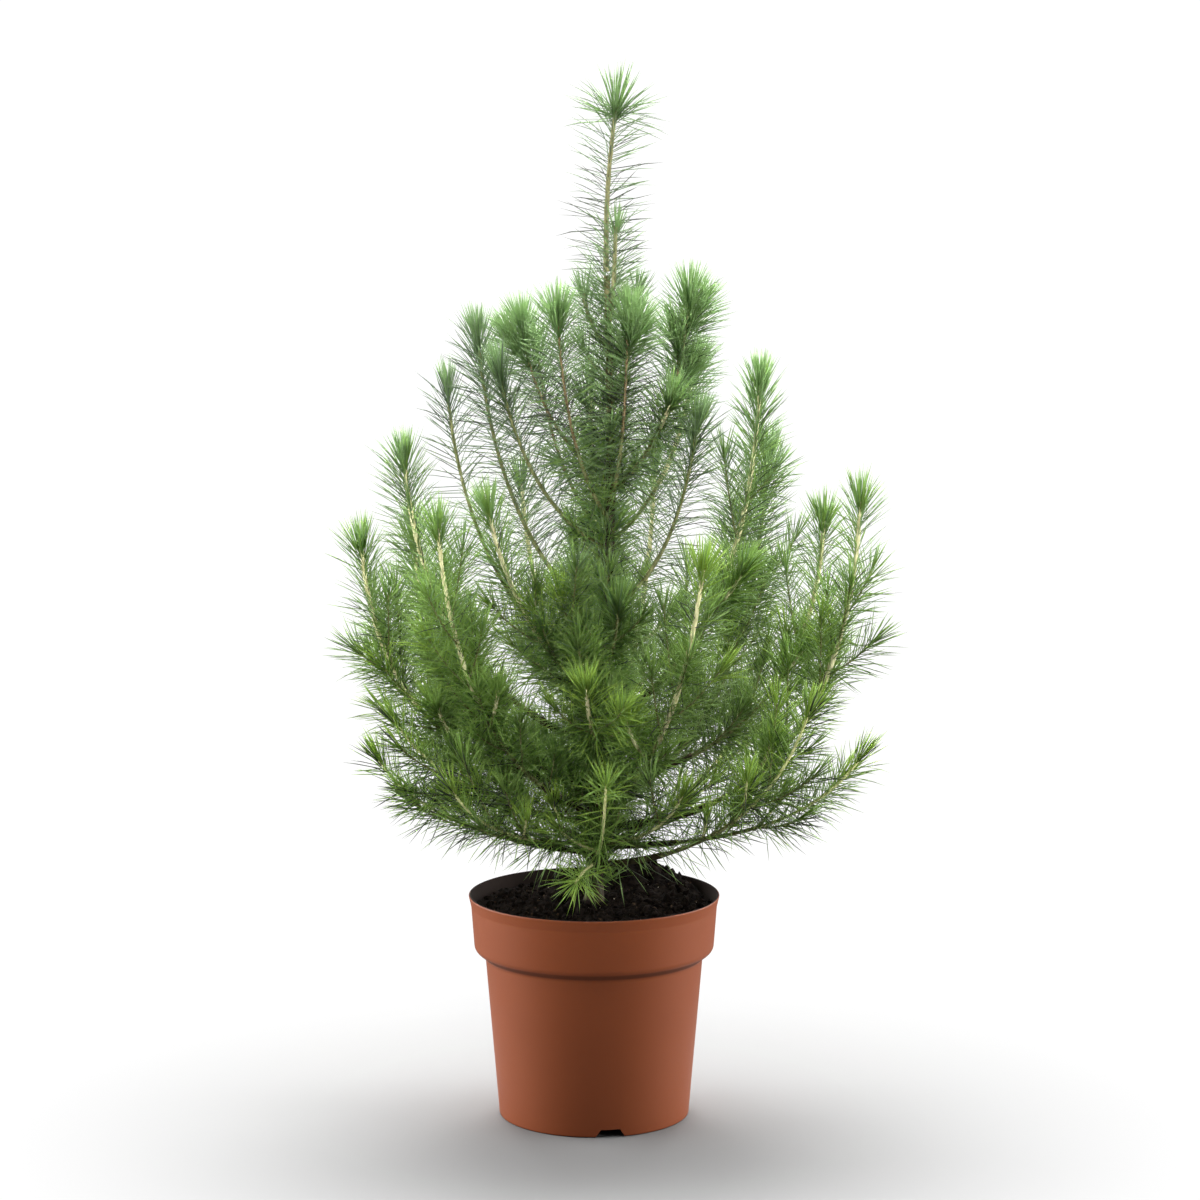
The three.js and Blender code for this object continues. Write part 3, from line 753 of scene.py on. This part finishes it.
def dress(tree, shader, colour, specular, rough, grain, strength, depth):
    """The surface of a material, with its grain in relief."""
    bump = add_node(tree, "Bump", {"Height": grain, "Strength": strength, "Distance": depth})
    feed(tree, shader, {"Base Color": colour, "Specular IOR Level": specular, "Roughness": rough,
                        "Normal": bump["Normal"]})


def grey(tone):
    return (tone, tone, tone, 1.0)


def add_noise(tree, scale, detail, stretch=(1.0, 1.0, 1.0)):
    place = add_node(tree, "TexCoord", {})["Object"]
    place = add_node(tree, "Mapping", {"Vector": place, "Scale": stretch})["Vector"]
    return add_node(tree, "TexNoise", {"Vector": place, "Scale": scale, "Detail": detail})["Fac"]


def add_range(tree, source, low, high, start=0.0, end=1.0, **choices):
    """Goes from low to high as the source goes from start to end."""
    inputs = {"Value": source, "From Min": start, "From Max": end, "To Min": low, "To Max": high}
    return add_node(tree, "MapRange", inputs, **choices)["Result"]


def two_tone(tree, source, dark, light, low=0.0, high=1.0):
    """Colour that goes from dark to light as the source goes from low to high."""
    ramp = tree.nodes.new("ShaderNodeValToRGB")
    feed(tree, ramp, {"Fac": source})
    for element, place, colour in zip(ramp.color_ramp.elements, (low, high), (dark, light)):
        element.position = place
        element.color = (*colour, 1.0)
    return ramp.outputs["Color"]


def blend(tree, share, first, second):
    """Colour that goes from the first to the second as the share goes from 0 to 1."""
    return add_node(tree, "Mix", {"Factor": share, "A": first, "B": second}, data_type="RGBA")["Result"]


def needle_material(name, colour):
    material, tree, shader = new_material(name)
    grain = add_noise(tree, 900.0, 2.0)
    dress(tree, shader, (*colour, 1.0), 0.25, add_range(tree, grain, 0.42, 0.68), grain, 0.15, 0.0002)
    return material


def bark_material(name, dark, light, scale, bump, rind=None):
    """Mottled bark, over which a young rind may fade in with height."""
    material, tree, shader = new_material(name)
    grain = add_noise(tree, scale, 6.0, (1.0, 1.0, 0.35))
    colour = two_tone(tree, grain, dark, light, 0.32, 0.68)
    if rind:
        place = add_node(tree, "TexCoord", {})["Object"]
        height = add_node(tree, "SeparateXYZ", {"Vector": place})["Z"]
        share = add_range(tree, height, 0.0, 1.0, YOUNG_FROM * MM, YOUNG_FULL * MM)
        colour = blend(tree, share, colour, (*rind, 1.0))
    dress(tree, shader, colour, 0.15, add_range(tree, grain, 0.9, 0.65), grain, bump, 0.0006)
    return material


def pot_material():
    """Satin plastic, rougher and darkened by painted shade on the walls that face inwards."""
    material, tree, shader = new_material("pot")
    clay = two_tone(tree, add_noise(tree, 22.0, 3.0), *CLAY_COLOURS)
    place = add_node(tree, "TexCoord", {})
    inputs = {0: place["Object"], 1: (1.0, 1.0, 0.0)}
    level = add_node(tree, "VectorMath", inputs, operation="MULTIPLY")["Vector"]
    inputs = {0: level, 1: place["Normal"]}
    facing = add_node(tree, "VectorMath", inputs, operation="DOT_PRODUCT")["Value"]
    # Share of painted shade: full where the wall faces inwards or straight up, as on the lip's top,
    # none on the outer wall.
    inside = add_range(tree, facing, 0.0, 1.0, PAINTED_SHADE_NONE, PAINTED_SHADE_FULL)
    grain = add_noise(tree, 1600.0, 2.0)
    inputs = {0: inside, 1: 0.5, 2: add_range(tree, grain, 0.40, 0.54)}
    rough = add_node(tree, "Math", inputs, operation="MULTIPLY_ADD")["Value"]
    dress(tree, shader, blend(tree, inside, clay, (*POT_PAINTED_SHADE, 1.0)), 0.4, rough, grain, 0.12, 0.0001)
    return material


def soil_material(name, dark, light):
    material, tree, shader = new_material(name)
    grain = add_noise(tree, 420.0, 8.0)
    colour = two_tone(tree, grain, dark, light, 0.35, 0.75)
    dress(tree, shader, colour, 0.06, 0.95, grain, 0.8, 0.001)
    return material


# ---- meshes
def add_mesh(name, verts, faces, material, replaces=(), smooth=True):
    """A triangle mesh from arrays in mm, riding on the part's one body."""
    verts = np.ascontiguousarray(verts, dtype=np.float32) * MM
    faces = np.ascontiguousarray(faces, dtype=np.int32)
    mesh = bpy.data.meshes.new(name)
    mesh.vertices.add(len(verts))
    mesh.vertices.foreach_set("co", verts.ravel())
    mesh.loops.add(3 * len(faces))
    mesh.loops.foreach_set("vertex_index", faces.ravel())
    mesh.polygons.add(len(faces))
    mesh.polygons.foreach_set("loop_start", np.arange(0, 3 * len(faces), 3, dtype=np.int32))
    mesh.polygons.foreach_set("use_smooth", np.full(len(faces), smooth, dtype=bool))
    mesh.update(calc_edges=True)
    mesh.validate()
    mesh.materials.append(material)
    piece = add_object(name, mesh)
    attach(piece, "root")
    if replaces:
        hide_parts(*replaces)
    return piece


def ring_at(radius, height, sides):
    """Points round the pot's axis."""
    angle = 2 * np.pi * np.arange(sides) / sides
    return np.column_stack([radius * np.cos(angle), radius * np.sin(angle), np.full(sides, height)])


def skin(rings, first_point, last_point):
    """Closed skin over rings shaped (count, sides, 3), closed by a point at each end."""
    rings = np.asarray(rings, float)
    count, sides = rings.shape[:2]
    verts = np.concatenate([rings.reshape(-1, 3), [first_point], [last_point]])
    k = np.arange(sides)
    after = (k + 1) % sides
    faces = []
    for i in range(count - 1):
        a = i * sides + k
        b = i * sides + after
        faces.append(np.column_stack([a, b, b + sides]))
        faces.append(np.column_stack([a, b + sides, a + sides]))
    first = np.full(sides, count * sides)
    top = (count - 1) * sides
    faces.append(np.column_stack([first, after, k]))
    faces.append(np.column_stack([first + 1, top + k, top + after]))
    return verts, np.concatenate(faces)


def join(parts):
    faces = []
    offset = 0
    for part_verts, part_faces in parts:
        faces.append(part_faces + offset)
        offset += len(part_verts)
    return np.concatenate([part[0] for part in parts]), np.concatenate(faces)


def needle_mesh(root, direction, bend, length, width):
    """Slim three-sided needles, bent once at the middle and pointed."""
    count = len(root)
    side = unit(np.cross(direction, rng.normal(size=(count, 3))))
    face = np.cross(direction, side)
    points = []
    for t, thick in ((0.0, 0.85), (0.66, 0.95)):
        centre = root + direction * (length * t)[:, None] + bend * (length * t * t)[:, None]
        half = (width * thick * 0.5)[:, None]
        for a, b in ((1.0, -0.35), (-1.0, -0.35), (0.0, 0.65)):
            points.append(centre + side * half * a + face * half * b)
    points.append(root + direction * length[:, None] + bend * length[:, None])
    pattern = [[0, 2, 1]]
    for k, after in ((0, 1), (1, 2), (2, 0)):
        pattern += [[k, after, after + 3], [k, after + 3, k + 3], [3 + k, 3 + after, 6]]
    faces = np.array(pattern)[None] + 7 * np.arange(count)[:, None, None]
    return np.stack(points, axis=1).reshape(-1, 3), faces.reshape(-1, 3)


# Most needles in one piece, the lowest they reach over the pot's mouth and elsewhere, and
# the mouth's radius.
PIECE_LIMIT = 19000
LOWEST_NEEDLE = 119.0
OVER_RIM = 126.5
MOUTH = 60.0
foliage_nodes = ["foliage_" + row[0] for row in LIMBS] + ["foliage_leader"]


def make_needles():
    parts = [np.concatenate([part[i] for part in needles]) for i in range(6)]
    root, direction, bend, length, width, kind = parts
    tip = root + direction * length[:, None] + bend * length[:, None]
    low = np.minimum(root[:, 2], tip[:, 2])
    radial = np.hypot(tip[:, 0], tip[:, 1])
    keep = (low > LOWEST_NEEDLE) & ((low > OVER_RIM) | (radial < MOUTH))
    for number, (name, colour) in enumerate(NEEDLE_COLOURS.items()):
        chosen = np.nonzero(keep & (kind == number))[0]
        material = needle_material("needle_" + name, colour)
        for part, begin in enumerate(range(0, len(chosen), PIECE_LIMIT)):
            pick = chosen[begin:begin + PIECE_LIMIT]
            verts, faces = needle_mesh(*[values[pick] for values in parts[:5]])
            add_mesh(f"needles_{name}_{part + 1}", verts, faces, material, foliage_nodes)


make_needles()


# ---- wood
# Share of a young stem's length, from its root, that has the dull rind.
STEM_INNER = 0.4


def lump(x, y, z):
    return noise.noise(Vector((x, y, z)))


def wood_tube(path, stops, radii, sides, relief, seed):
    """Tube with bark that stands proud by up to the relief's share of the radius."""
    rings = []
    for s, radius in zip(stops, radii):
        centre = path.at(s)
        along = path.along(s)
        level = np.array([-along[1], along[0], 0.0])
        if np.linalg.norm(level) < 0.25:
            level = np.array([1.0, 0.0, 0.0]) - along * along[0]
        level = unit(level)
        rise = np.cross(along, level)
        ring = []
        for k in range(sides):
            a = math.cos(2 * math.pi * k / sides)
            b = math.sin(2 * math.pi * k / sides)
            ridge = lump(2.2 * a + seed, 2.2 * b, s * 0.16)
            scale = lump(5.0 * a, 5.0 * b + seed, s * 0.55)
            proud = 1.0 + relief * (0.7 * ridge + 0.5 * scale)
            ring.append(centre + (level * a + rise * b) * radius * proud)
        rings.append(ring)
    return skin(rings, path.at(stops[0]), path.at(stops[-1]))


class Trunk:
    """The trunk's axis, read by height like a path."""

    at = staticmethod(trunk_axis)

    def along(self, z):
        return unit(trunk_axis(z + 0.5) - trunk_axis(z - 0.5))


def stem_group(stem):
    """Pale on outer lower shoots, slim and green on the lowest, tan on upper ones."""
    if stem.style in ("star", "low"):
        return "slim"
    if stem.style == "leader" or stem.owner.startswith("crest"):
        return "olive"
    if stem.rank == 2 or stem.tone < 2:
        return "dull"
    return "pale" if stem.path.end[2] < 440.0 else "tan"


def make_bark():
    """Bark of the trunk and of the bare boughs, a little proud of the solids."""
    heights = np.concatenate([np.arange(GROUND - 1.5, 150.0, 1.2), np.arange(150.0, TRUNK_TOP, 1.8)])
    radii = [float(trunk_radius(max(z, GROUND))) * 1.02 for z in heights]
    parts = [wood_tube(Trunk(), heights, radii, 20, 0.16, 3.0)]
    for number, (name, path, start, end, r0, r1) in enumerate(boughs):
        stops = np.linspace(0.5, end + 1.5, int(end / 1.6))
        radii = np.interp(stops, [start, end], [r0, r1]) * 1.05
        radii = radii * (1.0 + 0.5 * np.exp(-(stops - 0.5) / 4.0))
        parts.append(wood_tube(path, stops, radii, 12, 0.14, number))
    verts, faces = join(parts)
    nodes = ["trunk"] + ["bough_" + row[0] for row in LIMBS if row[7] > 0]
    bark = bark_material("bark", *BARK_COLOURS, 260.0, 0.9, YOUNG_RIND)
    add_mesh("bark_of_trunk_and_boughs", verts, faces, bark, nodes)


def make_young_stems():
    """Rind of the needled stems, in one mesh for each group; most are dull lower down."""
    groups = {group: [] for group in STEM_GROUPS}
    for number, stem in enumerate(stems):
        begin = stem.start - (1.5 if stem.rank == 0 and stem.start > 20.0 else stem.start)
        begin = max(begin, 0.2)
        split = begin + (stem.end - begin) * STEM_INNER
        outer = stem_group(stem)
        pieces = [("dull", begin, split), (outer, split, stem.end)]
        if stem.style in ("leader", "star") or outer == "dull":
            pieces = [(outer, begin, stem.end)]
        for group, low, high in pieces:
            stops = np.linspace(low, high, max(3, int((high - low) / 2.0)))
            share = (stops - begin) / max(stem.end - begin, 1.0)
            radii = (stem.r0 + (stem.r1 - stem.r0) * share ** 0.5) * STEM_GROUPS[group][2]
            sides = 8 if stem.rank < 2 else 5
            groups[group].append(wood_tube(stem.path, stops, radii, sides, 0.26, number * 0.37))
    for group, tubes in groups.items():
        dark, light, _ = STEM_GROUPS[group]
        verts, faces = join(tubes)
        material = bark_material("stem_" + group, dark, light, 620.0, 0.7)
        add_mesh(f"stems_{group}", verts, faces, material, foliage_nodes)


make_bark()
make_young_stems()


# ---- pot
# Corners of the pot's section: radius, height and how far the corner is rounded. It runs out
# under the base, up the wall, over the band and the lip, and down the inside to the floor,
# which is made thick enough here to hold the drainage channels.
POT_CORNERS = [
    (0.0, 0.0, 0.0), (53.05, 0.0, 1.2), (60.7, 90.0, 3.5), (66.75, 94.6, 4.5), (68.55, 118.6, 8.0),
    (70.05, 125.0, 0.6), (68.75, 125.0, 0.4), (67.4, 118.0, 6.0), (64.6, 96.2, 3.0),
    (58.7, 91.2, 3.0), (51.9, 6.1, 0.6), (0.0, 6.1, 0.0),
]
# Longest step of a rounding arc, and steps round the pot.
ARC_STEP = 12 * DEG
POT_SIDES = 160
# Drainage channels: azimuths, width at the ground and at the top, height, and the radii
# that the cut goes from and to.
NOTCH_AZIMUTHS = (-80.2, 39.8, 159.8)
NOTCH_WIDE = 16.7
NOTCH_NARROW = 10.6
NOTCH_HIGH = 4.6
NOTCH_ENDS = (18.0, 60.0)


def round_corners(corners):
    """Outline through the corners, each rounded by an arc that touches both its sides."""
    outline = [corners[0][:2]]
    for before, (x, y, radius), after in zip(corners, corners[1:], corners[2:]):
        corner = np.array([x, y])
        back = unit(np.array(before[:2]) - corner)
        ahead = unit(np.array(after[:2]) - corner)
        half = 0.5 * math.acos(float(back @ ahead))
        centre = corner + unit(back + ahead) * radius / math.sin(half)
        first = corner + back * radius / math.tan(half) - centre
        last = corner + ahead * radius / math.tan(half) - centre
        turn = math.pi - 2 * half
        steps = max(2, math.ceil(turn / ARC_STEP))
        for share in np.linspace(0.0, 1.0, steps + 1):
            spoke = first * math.sin((1 - share) * turn) + last * math.sin(share * turn)
            outline.append(tuple(centre + spoke / math.sin(turn)))
    outline.append(corners[-1][:2])
    return outline


def lathe(profile):
    rings = [ring_at(radius, height, POT_SIDES) for radius, height in profile[1:-1]]
    return skin(rings, (0.0, 0.0, profile[0][1]), (0.0, 0.0, profile[-1][1]))


def notch_cutter(azimuth):
    along = heading(azimuth)
    slope = (NOTCH_WIDE - NOTCH_NARROW) / NOTCH_HIGH
    outline = [(-NOTCH_WIDE / 2 - slope * 0.5, -1.0), (NOTCH_WIDE / 2 + slope * 0.5, -1.0),
               (NOTCH_NARROW / 2, NOTCH_HIGH), (-NOTCH_NARROW / 2, NOTCH_HIGH)]
    rings = []
    middles = []
    for r in NOTCH_ENDS:
        rings.append([(along[0] * r - along[1] * a, along[1] * r + along[0] * a, high)
                      for a, high in outline])
        middles.append((along[0] * r, along[1] * r, 1.5))
    return skin(rings, *middles)


def make_pot():
    verts, faces = lathe(round_corners(POT_CORNERS))
    pot = add_mesh("pot_shell", verts, faces, pot_material(), ["pot"])
    cutters = join([notch_cutter(azimuth) for azimuth in NOTCH_AZIMUTHS])
    mesh = bpy.data.meshes.new("cutter")
    mesh.from_pydata((cutters[0] * MM).tolist(), [], cutters[1].tolist())
    cutter = add_object("cutter", mesh)
    boolean = pot.modifiers.new("notches", "BOOLEAN")
    boolean.object = cutter
    boolean.operation = "DIFFERENCE"
    boolean.solver = "EXACT"
    depsgraph = bpy.context.evaluated_depsgraph_get()
    cut = bpy.data.meshes.new_from_object(pot.evaluated_get(depsgraph))
    pot.modifiers.clear()
    old = pot.data
    pot.data = cut
    bpy.data.meshes.remove(old)
    bpy.data.objects.remove(cutter)
    bpy.data.meshes.remove(mesh)
    cut.shade_smooth()
    sharp = pot.modifiers.new("weighted", "WEIGHTED_NORMAL")
    sharp.keep_sharp = True
    cut.set_sharp_from_angle(angle=40 * DEG)


make_pot()


# ---- soil
# The soil against the pot's wall: radius and height of each ring. Then its top: steps round
# it and across it, outer radius, and level and crown over a flat round the trunk's foot.
SOIL_WALL = ((57.4, 86.0), (64.3, 100.0), (65.9, 112.0))
SOIL_SIDES = 220
SOIL_RINGS = 74
SOIL_RADIUS = 66.4
SOIL_LEVEL = 117.5
SOIL_CROWN = 3.5
FOOT_FLAT = 9.0
# The low heap behind the trunk: place, height and how far it spreads both ways.
HEAP_X = 26.0
HEAP_Y = 42.0
HEAP_HIGH = 15.5
HEAP_WIDE = 20.0
HEAP_DEEP = 12.5


def soil_height(x, y):
    r = np.hypot(x, y)
    heap = np.hypot((x - HEAP_X) / HEAP_WIDE, (y - HEAP_Y) / HEAP_DEEP)
    lumps = 0.7 * np.sin(x * 0.31 + 1.1) * np.sin(y * 0.27 + 0.4) + 0.5 * np.sin(x * 0.13 - y * 0.19)
    height = SOIL_LEVEL + SOIL_CROWN * (1 - (r / 67.0) ** 2) + lumps
    raised = height + HEAP_HIGH * np.exp(-heap * heap / 2)
    share = np.clip((r - FOOT_FLAT) / FOOT_FLAT, 0.0, 1.0)
    return GROUND + (raised - GROUND) * share


def crumb_height(x, y):
    """Coarse lumps and fine crumbs that the soil's surface breaks into, in mm."""
    big = lump(x * 0.11, y * 0.11, 4.0)
    small = lump(x * 0.3, y * 0.3, 9.0)
    fine = lump(x, y, 2.0)
    return 2.2 * big + 1.8 * small + 0.7 * fine - 0.5


def make_soil():
    rings = [ring_at(radius, height, SOIL_SIDES) for radius, height in SOIL_WALL]
    for radius in np.linspace(SOIL_RADIUS, 0.9, SOIL_RINGS):
        ring = ring_at(radius, 0.0, SOIL_SIDES)
        rough = [crumb_height(x, y) for x, y, _ in ring]
        ring[:, 2] = soil_height(ring[:, 0], ring[:, 1]) + np.array(rough)
        rings.append(ring)
    top = (0.0, 0.0, float(soil_height(0.0, 0.0)))
    verts, faces = skin(rings, (0.0, 0.0, SOIL_WALL[0][1]), top)
    peat = soil_material("peat", *PEAT_COLOURS)
    add_mesh("soil_bed", verts, faces, peat, ["soil"])
    return peat


def crumb_shapes(count, low, high, flatten, reach, seed):
    """Small broken lumps strewn over the soil, clear of the trunk's foot."""
    pick = np.random.default_rng(seed)
    base = np.array([[1, 0, 0], [-1, 0, 0], [0, 1, 0], [0, -1, 0], [0, 0, 1], [0, 0, -1],
                     [0.7, 0.7, 0], [-0.7, 0.7, 0], [0.7, -0.7, 0], [-0.7, -0.7, 0]], float)
    rim = (0, 6, 2, 7, 1, 9, 3, 8)
    pairs = list(zip(rim, rim[1:] + rim[:1]))
    faces = np.array([(4, a, b) for a, b in pairs] + [(5, b, a) for a, b in pairs])
    parts = []
    for _ in range(count):
        r = reach * math.sqrt(pick.random())
        a = pick.random() * 2 * math.pi
        x, y = r * math.cos(a), r * math.sin(a)
        size = low + (high - low) * pick.random() ** 2.5
        turn = np.linalg.qr(pick.normal(size=(3, 3)))[0]
        stretch = np.array([1.0, pick.uniform(0.55, 0.95), pick.uniform(flatten, 0.9)])
        shape = base * (1.0 + pick.uniform(-0.25, 0.25, (10, 1))) * stretch * size * 0.5
        if math.hypot(x, y) < 7.5:
            continue
        place = np.array([x, y, float(soil_height(x, y)) + crumb_height(x, y) + size * 0.15])
        parts.append((shape @ turn.T + place, faces))
    return join(parts)


def make_crumbs(peat):
    """Crumbs of the peat itself, its fibres and a little pale grit."""
    fibre = soil_material("peat_fibre", *FIBRE_COLOURS)
    grit = soil_material("pale_grit", *GRIT_COLOURS)
    for name, material, shapes in (("soil_crumbs", peat, (1700, 1.0, 6.5, 0.4, 65.0, 11)),
                                   ("soil_fibre", fibre, (420, 0.8, 3.0, 0.25, 65.0, 12)),
                                   ("soil_grit", grit, (46, 0.7, 1.7, 0.6, 64.0, 13))):
        verts, faces = crumb_shapes(*shapes)
        add_mesh(name, verts, faces, material, smooth=False)


make_crumbs(make_soil())


# ---- stage and light
def make_stage():
    """Pale floor: plain near the plant, fading to a glow of pure white further off, which is painted
    light and leaves a painted shadow round the plant.
    """
    material, tree, shader = new_material("floor")
    seen = add_node(tree, "LightPath", {})["Is Camera Ray"]
    tone = blend(tree, seen, grey(FLOOR_BOUNCE), grey(FLOOR_TONE))
    feed(tree, shader, {"Base Color": tone, "Specular IOR Level": 0.05, "Roughness": 0.9})
    power = add_range(tree, seen, FLOOR_BOUNCE, ROOM_SEEN)
    glow = add_node(tree, "Emission", {"Strength": power})["Emission"]
    place = add_node(tree, "TexCoord", {})["Object"]
    away = add_node(tree, "VectorMath", {0: place}, operation="LENGTH")["Value"]
    # Share of the painted white glow: none near the pot's axis, full far off.
    fade = add_range(tree, away, 0.0, 1.0, FLOOR_PLAIN, FLOOR_WHITE, interpolation_type="SMOOTHSTEP")
    surface = add_node(tree, "MixShader", {"Fac": fade, 1: shader.outputs["BSDF"], 2: glow})["Shader"]
    feed(tree, tree.nodes["Material Output"], {"Surface": surface})
    bpy.ops.mesh.primitive_plane_add(size=30.0)
    floor = bpy.context.object
    floor.name = "floor"
    floor.data.materials.append(material)


def area_light(name, place, aim, size, power, spread=180.0):
    data = bpy.data.lights.new(name, "AREA")
    data.shape = "RECTANGLE"
    data.size = size[0]
    data.size_y = size[1]
    data.energy = power
    data.spread = spread * DEG
    light = add_object(name, data)
    light.location = place
    facing = Vector((0.0, 0.0, aim)) - Vector(place)
    light.rotation_euler = facing.to_track_quat("-Z", "Y").to_euler()


def make_light():
    """White room, brighter behind the plant than in front of it, and five soft boxes."""
    world = bpy.data.worlds.new("studio")
    bpy.context.scene.world = world
    world.use_nodes = True
    tree = world.node_tree
    tree.nodes.clear()
    place = add_node(tree, "TexCoord", {})["Generated"]
    depth = add_node(tree, "SeparateXYZ", {"Vector": place})["Y"]
    power = add_range(tree, depth, ROOM_FRONT, ROOM_BACK, -0.7, 0.7)
    felt = add_node(tree, "Background", {"Color": grey(1.0), "Strength": power})["Background"]
    seen = add_node(tree, "Background", {"Color": grey(1.0), "Strength": ROOM_SEEN})["Background"]
    ray = add_node(tree, "LightPath", {})["Is Camera Ray"]
    surface = add_node(tree, "MixShader", {"Fac": ray, 1: felt, 2: seen})["Shader"]
    add_node(tree, "OutputWorld", {"Surface": surface})
    for box in SOFT_BOXES:
        area_light(*box)


make_stage()
make_light()
bpy.context.scene.view_settings.view_transform = "Standard"
